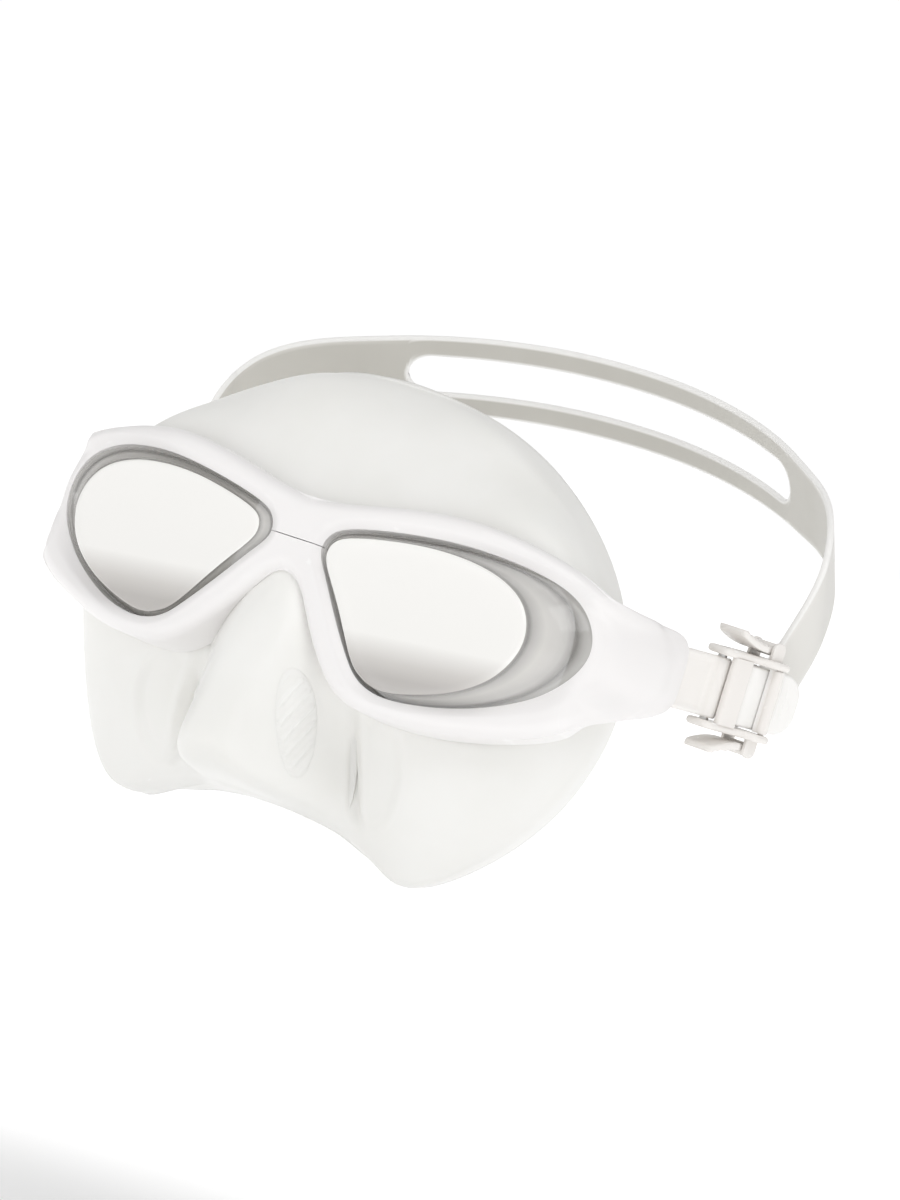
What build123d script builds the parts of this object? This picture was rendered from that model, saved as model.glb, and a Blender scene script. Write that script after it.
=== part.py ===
from build123d import *
import os
from math import cos, radians, sin

os.makedirs("parts", exist_ok=True)

# A low-volume diving mask, worn on a head. All sizes in millimetres.
# Row frame: the origin is the middle of the face opening, +X the wearer's left, +Y towards
# the face and on to the back of the head, +Z up.

# ---- driving dimensions: the front ----
bridge_y = -40.0            # front of the frame over the nose bridge
bridge_z = 15.0             # height of the bridge seam
rake = 7.0                  # the front leans back at the top, degrees
seat_depth = 1.3            # lens seat behind the bridge front, on the centre line
seat_cant = 12.2            # each lens seat turns back towards the temple, degrees
window_depth = -1.6         # flat window ahead of the bridge front, on the centre line
window_cant = 5.7           # each flat window turns back, degrees
seam_gap = 0.15             # gap along the frame seams
seat_clearance = 0.2        # between the bezels and what they hold

# ---- driving dimensions: the layers behind the lens seat ----
lens_wall = 2.3
flange_width = 2.0          # lens flange outside the opening
flange_thickness = 1.8
bead_width = 4.5            # skirt bead and inner frame outside the opening
bead_thickness = 2.0
inner_frame_thickness = 3.0
neck_wall = 1.6             # silicone neck through the inner frame
bezel_back = 0.2            # bezels stand this far behind the inner frame

# ---- driving dimensions: the skirt ----
skirt_wall = 2.2
skirt_scale = 1.0           # width of the skirt body, as a factor on its sections
face_depth = 33.5           # skirt edge behind the bridge front, on the centre line
face_radius = 85.0          # the face that the skirt edge follows
nose_wall = 2.0

# ---- driving dimensions: temples, tabs and buckles ----
hinge_x = 91.1              # buckle hinge pin, wearer's left
hinge_y = 27.3
hinge_z = 10.5
heading = 74.0              # tab and buckle run this way from +X, degrees
strap_width = 16.0
strap_thickness = 1.8
tab_length = 31.0
tab_thickness = 3.0
slot_clearance = 0.2        # round the tab, each side
pin_ends = 1.2              # anchor pin beyond each edge of the tab
anchor_back = 21.0          # anchor pin ahead of the hinge pin, along the tab
pin_radius = 1.2
running_clearance = 0.05
knuckle_radius = 2.7
side_gap = 0.6              # strap edge to buckle side wall
side_wall = 2.0
axle_recess = 0.5           # axle ends stop this far inside the side wall's outer face
roller_back = 10.2          # roller behind the hinge pin
roller_radius = 2.2
roller_axle_radius = 1.0
strap_gap = 0.35            # strap to the roller
pawl_back = 15.4            # pawl pivot behind the hinge pin
pawl_pin_radius = 0.8
pawl_radius = 1.5
button_back = 14.0          # button pivot behind the hinge pin
button_length = 15.0
button_width = 6.4
button_thickness = 1.4
button_tilt = 9.0           # button stands off the side wall, degrees
button_rise = 2.6           # button pivot above the side wall
tail_length = 28.0          # free end of the strap behind the hinge pin

# ---- driving dimensions: strap round the head ----
strap_incline = 36.0        # plane of the strap loop above level, degrees
strap_reach = 133.5         # back of the loop, along that plane
strap_half_width = 99.0     # widest place of the loop
slit_half_length = 62.0     # slit that parts the two bands
slit_height = 11.5

cos_rake = cos(radians(rake))
sin_rake = sin(radians(rake))
bead_depth = flange_thickness + bead_thickness
stack_depth = bead_depth + inner_frame_thickness
frame_back = stack_depth + bezel_back
half_strap = strap_width / 2
wall_inner = half_strap + side_gap
wall_outer = wall_inner + side_wall
axle_end = wall_outer - axle_recess
layer_inner = roller_radius + strap_gap
layer_outer = layer_inner + strap_thickness


def front_point(x, depth, height):
    """Row position of a point given across, behind and up the raked front."""
    y = bridge_y + depth * cos_rake + height * sin_rake
    z = bridge_z - depth * sin_rake + height * cos_rake
    return Vector(x, y, z)


up_the_front = Vector(0, sin_rake, cos_rake)
into_the_front = Vector(0, cos_rake, -sin_rake)
front_plane = Plane(origin=front_point(0, 0, 0), x_dir=(1, 0, 0), z_dir=into_the_front * -1)
plan_plane = Plane(origin=front_point(0, 0, 0), x_dir=(1, 0, 0), z_dir=up_the_front)


def cant_plane(depth, cant):
    """Plane of the left eye: local x runs outwards, y up, z forwards, turned back by cant."""
    across = Vector(1, 0, 0)
    c = cos(radians(cant))
    s = sin(radians(cant))
    return Plane(
        origin=front_point(0, depth, 0),
        x_dir=across * c + into_the_front * s,
        z_dir=across * s - into_the_front * c,
    )


def rounded_outline(plane, corners, stretch=1.0, grow=0.0):
    """Closed outline with its own radius at each corner (x, y, radius), grown by an offset."""
    points = [(x * stretch, y) for x, y, radius in corners]
    radii = [radius for x, y, radius in corners]
    with BuildSketch(plane) as outline:
        with BuildLine():
            FilletPolyline(*points, radius=radii, close=True)
        make_face()
        if grow != 0:
            offset(amount=grow)
    return outline.sketch


def both_sides(half):
    """Corner list of a symmetrical outline from its left half, top to bottom."""
    inner = [corner for corner in reversed(half) if corner[0] != 0]
    return half + [(-x, y, radius) for x, y, radius in inner]


# ---- outlines, each corner as (across, up the front, corner radius) ----
opening_corners = [
    (3.6, 6.2, 3.0),
    (50.0, 13.4, 55.0),
    (85.5, 5.4, 11.0),
    (79.5, -14.8, 16.0),
    (46.0, -34.0, 16.0),
    (31.5, -33.0, 7.0),
]
window_corners = [
    (7.2, 4.6, 3.2),
    (46.0, 10.0, 32.0),
    (71.0, 3.4, 9.0),
    (67.5, -16.5, 14.0),
    (42.0, -30.5, 6.0),
    (32.5, -30.0, 4.0),
]
frame_corners = both_sides(
    [
        (0.0, 14.5, 0.0),
        (46.0, 18.5, 90.0),
        (91.0, 9.5, 8.0),
        (90.5, -19.5, 8.0),
        (48.0, -40.5, 25.0),
        (29.0, -38.0, 14.0),
        (2.6, -6.0, 2.5),
    ]
)
seat_stretch = 1 / cos(radians(seat_cant))
window_stretch = 1 / cos(radians(window_cant))
seat_rise = sin(radians(seat_cant)) / cos(radians(seat_cant))
far = 60.0


def seat_plane(behind):
    """Plane parallel to the lens seat, the given distance behind it."""
    return cant_plane(seat_depth, seat_cant).offset(-behind)


def seat_outline(behind, grow):
    """Lens opening, grown by an offset, on a plane behind the lens seat."""
    return rounded_outline(seat_plane(behind), opening_corners, seat_stretch, grow)


# ---- lens, one moulding: flat window, side wall and flange ----
window_front = rounded_outline(cant_plane(window_depth, window_cant), window_corners, window_stretch)
window_plane = cant_plane(window_depth + lens_wall, window_cant)
window_back = rounded_outline(window_plane, window_corners, window_stretch, -lens_wall)

with BuildPart() as lens_left:
    loft([window_front, seat_outline(0, -seat_clearance)])
    extrude(seat_outline(0, flange_width), amount=-flange_thickness)
    loft([window_back, seat_outline(0, -lens_wall)], mode=Mode.SUBTRACT)
    extrude(seat_outline(0, -lens_wall), amount=-flange_thickness, mode=Mode.SUBTRACT)
lens_left.part.label = "lens_left"
export_step(lens_left.part, "parts/lens_left.step")

with BuildPart() as lens_right:
    mirror(lens_left.part, about=Plane.YZ)
lens_right.part.label = "lens_right"
export_step(lens_right.part, "parts/lens_right.step")

# ---- inner frame: clamps the skirt bead against both lens flanges ----
bridge_bar_height = 11.0
bridge_bar_width = 5.6
bridge_bar_thickness = 2.0
bridge_bar_middle = 3.0
bridge_bar_sink = 1.1       # front of the bar behind the clamping face
bridge_bar_depth = seat_depth + bead_depth + bridge_bar_sink

with BuildPart() as inner_frame:
    extrude(seat_outline(bead_depth, bead_width), amount=-inner_frame_thickness)
    extrude(
        seat_outline(bead_depth, neck_wall + seat_clearance),
        amount=-inner_frame_thickness,
        mode=Mode.SUBTRACT,
    )
    mirror(about=Plane.YZ)
    with BuildSketch(front_plane.offset(-bridge_bar_depth)):
        with Locations((0, bridge_bar_middle)):
            Rectangle(bridge_bar_width, bridge_bar_height)
    extrude(amount=-bridge_bar_thickness)
inner_frame.part.label = "inner_frame"
export_step(inner_frame.part, "parts/inner_frame.step")

# ---- bezels: one blank for the whole visible frame, parted along its seams ----
wall_end_depth = 36.0       # the outer ends reach this far back to carry the temples
wall_start = 86.2           # from here outwards the blank is that deep
front_profile = [(30.0, 0.9), (46.0, 4.0), (60.0, 9.6), (72.0, 14.2), (82.0, 17.8), (88.0, 23.0)]
profile_end = (91.5, 34.0)

with BuildPart() as bezel_blank:
    extrude(rounded_outline(front_plane, frame_corners), amount=far, both=True)
    with BuildSketch(plan_plane):
        with BuildLine():
            profile = front_profile + [profile_end]
            mirrored = [(-x, depth) for x, depth in reversed(profile)]
            front_line = Spline(mirrored + [(0.0, 0.0)] + profile)
            start_depth = seat_depth + frame_back
            wall_depth = start_depth + wall_start * seat_rise
            Polyline(
                front_line @ 1,
                (profile_end[0], wall_end_depth),
                (wall_start, wall_end_depth),
                (wall_start, wall_depth),
                (0.0, start_depth),
                (-wall_start, wall_depth),
                (-wall_start, wall_end_depth),
                (-profile_end[0], wall_end_depth),
                front_line @ 0,
            )
        make_face()
    extrude(amount=far, both=True, mode=Mode.INTERSECT)

with BuildPart() as bezel_recess:
    extrude(seat_outline(0, 0), amount=far / 2, both=True)
    extrude(seat_outline(0, flange_width + seat_clearance), amount=-flange_thickness)
    extrude(seat_outline(flange_thickness, bead_width + seat_clearance), amount=-far / 2)
    mirror(about=Plane.YZ)
    with BuildSketch(front_plane.offset(-(bridge_bar_depth - seat_clearance))):
        with Locations((0, bridge_bar_middle)):
            Rectangle(bridge_bar_width + 2 * seat_clearance, bridge_bar_height + 2 * seat_clearance)
    extrude(amount=-far / 2)

# The seam to each temple cover, and the area outside it, seen from the front.
temple_seam = [(91.0, 46.0), (74.2, 6.7), (74.7, 0.0), (77.5, -12.0), (84.0, -44.0)]


def temple_side(shift):
    """Area of the front outside the temple seam, with the seam moved outwards."""
    seam = [(x + shift, y) for x, y in temple_seam]
    with BuildSketch(front_plane) as area:
        with BuildLine():
            Polyline(*seam, (120.0, -44.0), (120.0, 46.0), close=True)
        make_face()
    return area.sketch


with BuildPart() as seam_cut:
    extrude(temple_side(-seam_gap / 2), amount=far, both=True)
    mirror(about=Plane.YZ)

with BuildPart() as upper_frame:
    add(bezel_blank.part)
    add(bezel_recess.part, mode=Mode.SUBTRACT)
    add(seam_cut.part, mode=Mode.SUBTRACT)
    split(bisect_by=Plane(front_point(0, 0, seam_gap / 2), z_dir=up_the_front), keep=Keep.TOP)
upper_frame.part.label = "upper_frame"
export_step(upper_frame.part, "parts/upper_frame.step")

with BuildPart() as lower_frame:
    add(bezel_blank.part)
    add(bezel_recess.part, mode=Mode.SUBTRACT)
    add(seam_cut.part, mode=Mode.SUBTRACT)
    split(bisect_by=Plane(front_point(0, 0, -seam_gap / 2), z_dir=up_the_front), keep=Keep.BOTTOM)
lower_frame.part.label = "lower_frame"
export_step(lower_frame.part, "parts/lower_frame.step")

# ---- tab, buckle and strap ends share one frame at the hinge pin ----
# Local x runs back along the strap, y towards the head, z up.
along = Vector(cos(radians(heading)), sin(radians(heading)), 0)
strap_frame = Plane(origin=(hinge_x, hinge_y, hinge_z), x_dir=along, z_dir=(0, 0, 1))


def level(height):
    """Level sketch plane in the buckle's frame, the given height above the hinge's middle."""
    return strap_frame.offset(height)


def buckle_point(back, inward, up):
    """Row position of a point given in the buckle's frame."""
    return strap_frame.from_local_coords(Vector(back, inward, up))


# ---- temple cover: the outer end of the bezel and the arm that holds the tab ----
arm_start_y = -10.0
arm_end_y = 12.0
arm_start = (85.2, 10.5, 9.4, 31.0)    # middle x, middle z, width, height
arm_end = (86.2, 10.5, 7.6, 20.5)
arm_corner = 2.5
slot_length = 30.0

with BuildPart() as temple_left:
    add(bezel_blank.part)
    add(bezel_recess.part, mode=Mode.SUBTRACT)
    extrude(temple_side(seam_gap / 2), amount=far, both=True, mode=Mode.INTERSECT)
    for arm_y, (middle_x, middle_z, width, height) in ((arm_start_y, arm_start), (arm_end_y, arm_end)):
        with BuildSketch(Plane(origin=(middle_x, arm_y, middle_z), x_dir=(1, 0, 0), z_dir=(0, -1, 0))):
            RectangleRounded(width, height, arm_corner)
    loft()
    with BuildSketch(level(0)):
        with Locations((-tab_length + slot_length / 2, 0)):
            Rectangle(slot_length, tab_thickness + 2 * slot_clearance)
    extrude(amount=half_strap + slot_clearance, both=True, mode=Mode.SUBTRACT)
    with BuildSketch(level(0)):
        with Locations((-anchor_back, 0)):
            Circle(pin_radius)
    extrude(amount=half_strap + pin_ends, both=True, mode=Mode.SUBTRACT)
temple_left.part.label = "temple_left"
export_step(temple_left.part, "parts/temple_left.step")

with BuildPart() as temple_right:
    mirror(temple_left.part, about=Plane.YZ)
temple_right.part.label = "temple_right"
export_step(temple_right.part, "parts/temple_right.step")

# ---- tab: flexible strip from the temple slot to the buckle's hinge pin ----
with BuildPart() as tab_left:
    with BuildSketch(level(0)):
        with Locations((-tab_length / 2, 0)):
            Rectangle(tab_length, tab_thickness)
        Circle(knuckle_radius)
        with Locations((-anchor_back, 0)):
            Circle(pin_radius + running_clearance, mode=Mode.SUBTRACT)
        Circle(pin_radius + running_clearance, mode=Mode.SUBTRACT)
    extrude(amount=half_strap, both=True)
tab_left.part.label = "tab_left"
export_step(tab_left.part, "parts/tab_left.step")

with BuildPart() as tab_right:
    mirror(tab_left.part, about=Plane.YZ)
tab_right.part.label = "tab_right"
export_step(tab_right.part, "parts/tab_right.step")

# ---- anchor pin: keeps the tab in the temple ----
with BuildPart() as anchor_pin_left:
    with BuildSketch(level(0)):
        with Locations((-anchor_back, 0)):
            Circle(pin_radius)
    extrude(amount=half_strap + pin_ends, both=True)
anchor_pin_left.part.label = "anchor_pin_left"
export_step(anchor_pin_left.part, "parts/anchor_pin_left.step")

with BuildPart() as anchor_pin_right:
    mirror(anchor_pin_left.part, about=Plane.YZ)
anchor_pin_right.part.label = "anchor_pin_right"
export_step(anchor_pin_right.part, "parts/anchor_pin_right.step")

# ---- buckle body: two side walls, a front bar outside and a cross bar inside ----
wall_outward = -5.0         # outer edge of the side walls, ahead of the pawl
wall_inward = 6.4           # inner edge of the side walls
pawl_outward = -6.2         # pawl pivot
wall_corners = [
    (-3.4, 3.4, 2.5),
    (-3.4, wall_outward, 2.5),
    (9.0, wall_outward, 3.0),
    (12.0, pawl_outward - side_wall, 2.0),
    (18.0, pawl_outward - side_wall, 2.0),
    (18.0, wall_inward, 3.0),
    (8.0, wall_inward, 4.0),
]
front_bar_start = 2.0
front_bar_end = 5.6
front_bar_thickness = 2.0
front_bar_corner = 0.7
cross_bar_start = 10.5
cross_bar_end = 15.5
cross_bar_thickness = 1.5
cross_bar_corner = 0.5
bar_sink = 0.5              # both bars run this far into the side walls
ear_gap = 0.3
ear_thickness = 1.2
ear_radius = 2.1
ear_sink = 0.2               # the ears are sunk this far into the side wall
button_pin_radius = 0.9
button_barrel_radius = 1.7
barrel_root = 1.0           # the pad's root runs this far under the pad
button_inner = button_width / 2 + ear_gap
button_middle = -1.0        # pads sit a little towards the outer face

with BuildPart() as buckle_body_left:
    for side in (-1, 1):
        low = wall_inner if side > 0 else -wall_outer
        walls = rounded_outline(level(low), wall_corners)
        extrude(walls, amount=side_wall)
    with BuildSketch(level(0)):
        with Locations(((front_bar_start + front_bar_end) / 2, wall_outward + front_bar_thickness / 2)):
            RectangleRounded(front_bar_end - front_bar_start, front_bar_thickness, front_bar_corner)
        with Locations(((cross_bar_start + cross_bar_end) / 2, wall_inward - cross_bar_thickness / 2)):
            RectangleRounded(cross_bar_end - cross_bar_start, cross_bar_thickness, cross_bar_corner)
    extrude(amount=wall_inner + bar_sink, both=True)
    with BuildSketch(level(0)):
        Circle(pin_radius)
        with Locations((roller_back, 0)):
            Circle(roller_axle_radius + running_clearance)
        with Locations((pawl_back, pawl_outward)):
            Circle(pawl_pin_radius + running_clearance)
    extrude(amount=2 * wall_outer, both=True, mode=Mode.SUBTRACT)
    for side in (-1, 1):
        for edge in (-1, 1):
            inward = button_middle + edge * (button_inner + ear_thickness / 2)
            ear = Plane(
                origin=buckle_point(button_back, inward, side * wall_outer),
                x_dir=along,
                z_dir=strap_frame.y_dir,
            )
            with BuildSketch(ear):
                with Locations((0, -side * (button_rise - ear_sink) / 2)):
                    Rectangle(2 * ear_radius, button_rise + ear_sink)
                with Locations((0, -side * button_rise)):
                    Circle(ear_radius)
            extrude(amount=ear_thickness / 2, both=True)
        pin_plane = Plane(
            origin=buckle_point(button_back, button_middle, side * (wall_outer + button_rise)),
            z_dir=strap_frame.y_dir,
        )
        with BuildSketch(pin_plane):
            Circle(button_pin_radius)
        extrude(amount=button_inner + ear_thickness / 2, both=True)
buckle_body_left.part.label = "buckle_body_left"
export_step(buckle_body_left.part, "parts/buckle_body_left.step")

with BuildPart() as buckle_body_right:
    mirror(buckle_body_left.part, about=Plane.YZ)
buckle_body_right.part.label = "buckle_body_right"
export_step(buckle_body_right.part, "parts/buckle_body_right.step")

# ---- hinge pin: pressed in the buckle's side walls, turns in the tab ----
with BuildPart() as hinge_pin_left:
    with BuildSketch(level(0)):
        Circle(pin_radius)
    extrude(amount=wall_outer, both=True)
hinge_pin_left.part.label = "hinge_pin_left"
export_step(hinge_pin_left.part, "parts/hinge_pin_left.step")

with BuildPart() as hinge_pin_right:
    mirror(hinge_pin_left.part, about=Plane.YZ)
hinge_pin_right.part.label = "hinge_pin_right"
export_step(hinge_pin_right.part, "parts/hinge_pin_right.step")

# ---- roller: the strap turns back round it ----
with BuildPart() as roller_left:
    with BuildSketch(level(0)):
        with Locations((roller_back, 0)):
            Circle(roller_radius)
    extrude(amount=wall_inner - strap_gap, both=True)
    with BuildSketch(level(0)):
        with Locations((roller_back, 0)):
            Circle(roller_axle_radius)
    extrude(amount=axle_end, both=True)
roller_left.part.label = "roller_left"
export_step(roller_left.part, "parts/roller_left.step")

with BuildPart() as roller_right:
    mirror(roller_left.part, about=Plane.YZ)
roller_right.part.label = "roller_right"
export_step(roller_right.part, "parts/roller_right.step")

# ---- pawl: bar across the strap's free end, with a tooth that locks its ribs ----
tooth_width = 1.0
tooth_tip = -(layer_outer + strap_gap)

with BuildPart() as pawl_left:
    with BuildSketch(level(0)):
        with Locations((pawl_back, pawl_outward)):
            Circle(pawl_radius)
        with BuildLine():
            Polyline(
                (pawl_back - tooth_width, pawl_outward),
                (pawl_back - 2 * tooth_width, tooth_tip),
                (pawl_back + tooth_width, pawl_outward),
                close=True,
            )
        make_face()
    extrude(amount=wall_inner - strap_gap, both=True)
    with BuildSketch(level(0)):
        with Locations((pawl_back, pawl_outward)):
            Circle(pawl_pin_radius)
    extrude(amount=axle_end, both=True)
pawl_left.part.label = "pawl_left"
export_step(pawl_left.part, "parts/pawl_left.step")

with BuildPart() as pawl_right:
    mirror(pawl_left.part, about=Plane.YZ)
pawl_right.part.label = "pawl_right"
export_step(pawl_right.part, "parts/pawl_right.step")

# ---- squeeze buttons: one above and one below each buckle, hinged at the rear ----
pad_sag = 1.1               # the pad's middle bows away from the side wall
pad_width = 8.4


def button(side):
    """Pad with a barrel at its rear end; side is 1 above the buckle and -1 below it."""
    pivot = buckle_point(button_back, button_middle, side * (wall_outer + button_rise))
    out = Vector(0, 0, side)
    c = cos(radians(button_tilt))
    s = sin(radians(button_tilt))
    pad_plane = Plane(
        origin=pivot,
        x_dir=out * s - along * c,
        z_dir=strap_frame.y_dir * side,
    )
    half = button_thickness / 2
    with BuildPart() as pad:
        with BuildSketch(pad_plane):
            with BuildLine():
                lower = ThreePointArc((0, -half), (button_length / 2, pad_sag - half), (button_length, -half))
                upper = ThreePointArc((0, half), (button_length / 2, pad_sag + half), (button_length, half))
                Line(lower @ 0, upper @ 0)
                Line(lower @ 1, upper @ 1)
            make_face()
        extrude(amount=pad_width / 2, both=True)
        with BuildSketch(pad_plane):
            Circle(ear_radius + ear_gap)
        extrude(amount=pad_width, both=True, mode=Mode.SUBTRACT)
        with BuildSketch(pad_plane):
            Circle(button_barrel_radius)
            with Locations(((ear_radius + ear_gap) / 2, 0)):
                Rectangle(ear_radius + ear_gap + barrel_root, button_thickness)
            Circle(button_pin_radius + running_clearance, mode=Mode.SUBTRACT)
        extrude(amount=button_width / 2, both=True)
    return pad.part


with BuildPart() as button_upper_left:
    add(button(1))
button_upper_left.part.label = "button_upper_left"
export_step(button_upper_left.part, "parts/button_upper_left.step")

with BuildPart() as button_lower_left:
    add(button(-1))
button_lower_left.part.label = "button_lower_left"
export_step(button_lower_left.part, "parts/button_lower_left.step")

with BuildPart() as button_upper_right:
    mirror(button_upper_left.part, about=Plane.YZ)
button_upper_right.part.label = "button_upper_right"
export_step(button_upper_right.part, "parts/button_upper_right.step")

with BuildPart() as button_lower_right:
    mirror(button_lower_left.part, about=Plane.YZ)
button_lower_right.part.label = "button_lower_right"
export_step(button_lower_right.part, "parts/button_lower_right.step")

# ---- skirt: silicone body with a bead, two necks and a nose pocket ----
# Sections across the body as (depth along +Y from the origin, half outline), where each
# corner is (across, height over the bridge seam, radius).
section_radii = [0, 22, 18, 20, 18, 11, 9, 0]
body_sections = [
    (-33.0, [(0, 16), (40, 18), (62, 14), (70, -5), (66, -26), (46, -41), (32, -41), (0, -38)]),
    (-16.0, [(0, 35), (40, 33), (66, 20), (76, -12), (72, -40), (50, -64), (32, -64), (0, -52)]),
    (2.0, [(0, 46), (38, 43), (66, 22), (79, -15), (76, -44), (54, -76), (34, -76), (0, -64)]),
    (30.0, [(0, 47), (36, 43), (58, 20), (66, -15), (66, -40), (50, -74), (32, -74), (0, -62)]),
]
front_share = 0.7           # the first section's corners are tighter by this factor
nose_sections = [
    (-9.5, 1.6, -0.5, 3.0),
    (-30.0, 4.5, -7.5, 17.5),
    (-50.0, 6.5, -13.0, 21.0),
    (-60.0, 7.5, -9.5, 21.0),
]
nose_back = 24.0
nose_flare_end = 14.4       # the pocket has its full width from here back
nose_radius = 1.2


def body_outline(section, inset):
    """One section of the skirt body on its upright plane, drawn in by an inset."""
    depth, half = section
    share = front_share if depth == body_sections[0][0] else 1.0
    places = zip(half, section_radii)
    corners = both_sides([(x * skirt_scale, z, radius * share) for (x, z), radius in places])
    plane = Plane(origin=(0, depth, bridge_z), x_dir=(1, 0, 0), z_dir=(0, -1, 0))
    return rounded_outline(plane, corners, 1.0, -inset)


def nose_outline(section, inset):
    """One level section of the nose pocket: half width in front, front, half width at its base."""
    height, front_half, front, base_half = section
    shift = inset if height < nose_sections[-2][0] else 0.0
    plane = Plane(origin=(0, bridge_y, bridge_z + height + shift), z_dir=(0, 0, 1))
    corners = [
        (front_half, front, nose_radius),
        (base_half, nose_flare_end, nose_radius),
        (base_half, nose_back, nose_radius),
        (-base_half, nose_back, nose_radius),
        (-base_half, nose_flare_end, nose_radius),
        (-front_half, front, nose_radius),
    ]
    return rounded_outline(plane, corners, 1.0, -inset)


def front_trim(behind):
    """Everything ahead of both seats, as a wedge that is cut from the skirt body."""
    with BuildPart() as wedge:
        with BuildSketch(seat_plane(behind)):
            with Locations((2 * far, 0)):
                Rectangle(4 * far, 4 * far)
        extrude(amount=2 * far)
        split(bisect_by=Plane.YZ, keep=Keep.TOP)
        mirror(about=Plane.YZ)
    return wedge.part


outer_trim = front_trim(frame_back)
inner_trim = front_trim(frame_back + skirt_wall)

with BuildPart() as eye_holes:
    extrude(seat_outline(0, 0), amount=-(frame_back + 2 * skirt_wall))
    mirror(about=Plane.YZ)

with BuildPart() as skirt_hollow:
    loft([body_outline(section, skirt_wall) for section in body_sections])
    add(inner_trim, mode=Mode.SUBTRACT)
    loft([nose_outline(section, nose_wall) for section in nose_sections[1:]])

with BuildPart() as skirt:
    loft([body_outline(section, 0) for section in body_sections])
    add(outer_trim, mode=Mode.SUBTRACT)
    loft([nose_outline(section, 0) for section in nose_sections])
    extrude(seat_outline(flange_thickness, bead_width), amount=-bead_thickness)
    extrude(seat_outline(flange_thickness, neck_wall), amount=-(frame_back + skirt_wall - flange_thickness))
    mirror(about=Plane.YZ)
    add(skirt_hollow.part, mode=Mode.SUBTRACT)
    add(eye_holes.part, mode=Mode.SUBTRACT)
    with BuildSketch(plan_plane):
        with Locations((0, face_depth + face_radius)):
            Circle(face_radius)
        with Locations((0, face_depth + face_radius + far)):
            Rectangle(2 * face_radius, 2 * far)
    extrude(amount=2 * far, both=True, mode=Mode.SUBTRACT)
skirt.part.label = "skirt"
export_step(skirt.part, "parts/skirt.step")

# ---- strap: a loop round the head that parts into two bands, with an end through each buckle ----
# Corners as (across, back along the loop's plane, corner radius).
loop_corners = [
    (strap_half_width - 7.2, 38.0, 0.0),
    (strap_half_width + 2.0, 72.0, 42.0),
    (strap_half_width - 15.0, 99.0, 60.0),
    (36.0, strap_reach, 108.0),
]
loop_start = 48.5
loop_plane = Plane(
    origin=(0, 0, 0),
    x_dir=(1, 0, 0),
    z_dir=(0, -sin(radians(strap_incline)), cos(radians(strap_incline))),
)
strap_bottom = hinge_z - half_strap
strap_top = hinge_z + half_strap
band_profile = [
    (36.0, strap_bottom, 0.0),
    (55.0, strap_bottom, 9.0),
    (67.0, 27.0, 20.0),
    (77.0, 45.5, 20.0),
    (99.5, 55.0, 20.0),
    (125.0, 66.5, 0.0),
    (110.0, 88.0, 0.0),
    (86.0, 74.0, 30.0),
    (62.0, 58.0, 20.0),
    (54.0, 40.0, 26.0),
    (47.5, strap_top, 3.0),
    (36.0, strap_top, 0.0),
]
slit_middle = -5.2

# One end of the strap: in behind the roller, round it and back out as the free end.
lap_end = 30.0

with BuildPart() as strap_end:
    with BuildSketch(level(0)):
        with BuildLine():
            inner_turn = CenterArc((roller_back, 0), layer_inner, 90, 180)
            outer_turn = CenterArc((roller_back, 0), layer_outer, 90, 180)
            Polyline(inner_turn @ 0, (lap_end, layer_inner), (lap_end, layer_outer), outer_turn @ 0)
            Polyline(inner_turn @ 1, (tail_length, -layer_inner), (tail_length, -layer_outer), outer_turn @ 1)
        make_face()
    extrude(amount=half_strap, both=True)

loop_outside = rounded_outline(loop_plane, both_sides(loop_corners))
loop_inside = rounded_outline(loop_plane, both_sides(loop_corners), 1.0, -strap_thickness)

with BuildPart() as strap:
    extrude(loop_outside, amount=2 * far, both=True)
    extrude(loop_inside, amount=2 * far, both=True, mode=Mode.SUBTRACT)
    with BuildSketch(loop_plane):
        with Locations((0, loop_start - far / 2)):
            Rectangle(4 * strap_half_width, far)
    extrude(amount=2 * far, both=True, mode=Mode.SUBTRACT)
    extrude(rounded_outline(Plane.YZ, band_profile), amount=2 * far, both=True, mode=Mode.INTERSECT)
    with BuildSketch(Plane(origin=(0, 0, 0), x_dir=(1, 0, 0), z_dir=loop_plane.y_dir)):
        with Locations((0, -slit_middle)):
            SlotOverall(2 * slit_half_length, slit_height)
    extrude(amount=2 * strap_reach, mode=Mode.SUBTRACT)
    add(strap_end.part)
    add(mirror(strap_end.part, about=Plane.YZ, mode=Mode.PRIVATE))
strap.part.label = "strap"
export_step(strap.part, "parts/strap.step")
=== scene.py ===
import bmesh
import bpy
import numpy as np
from mathutils import Matrix, Vector


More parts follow.
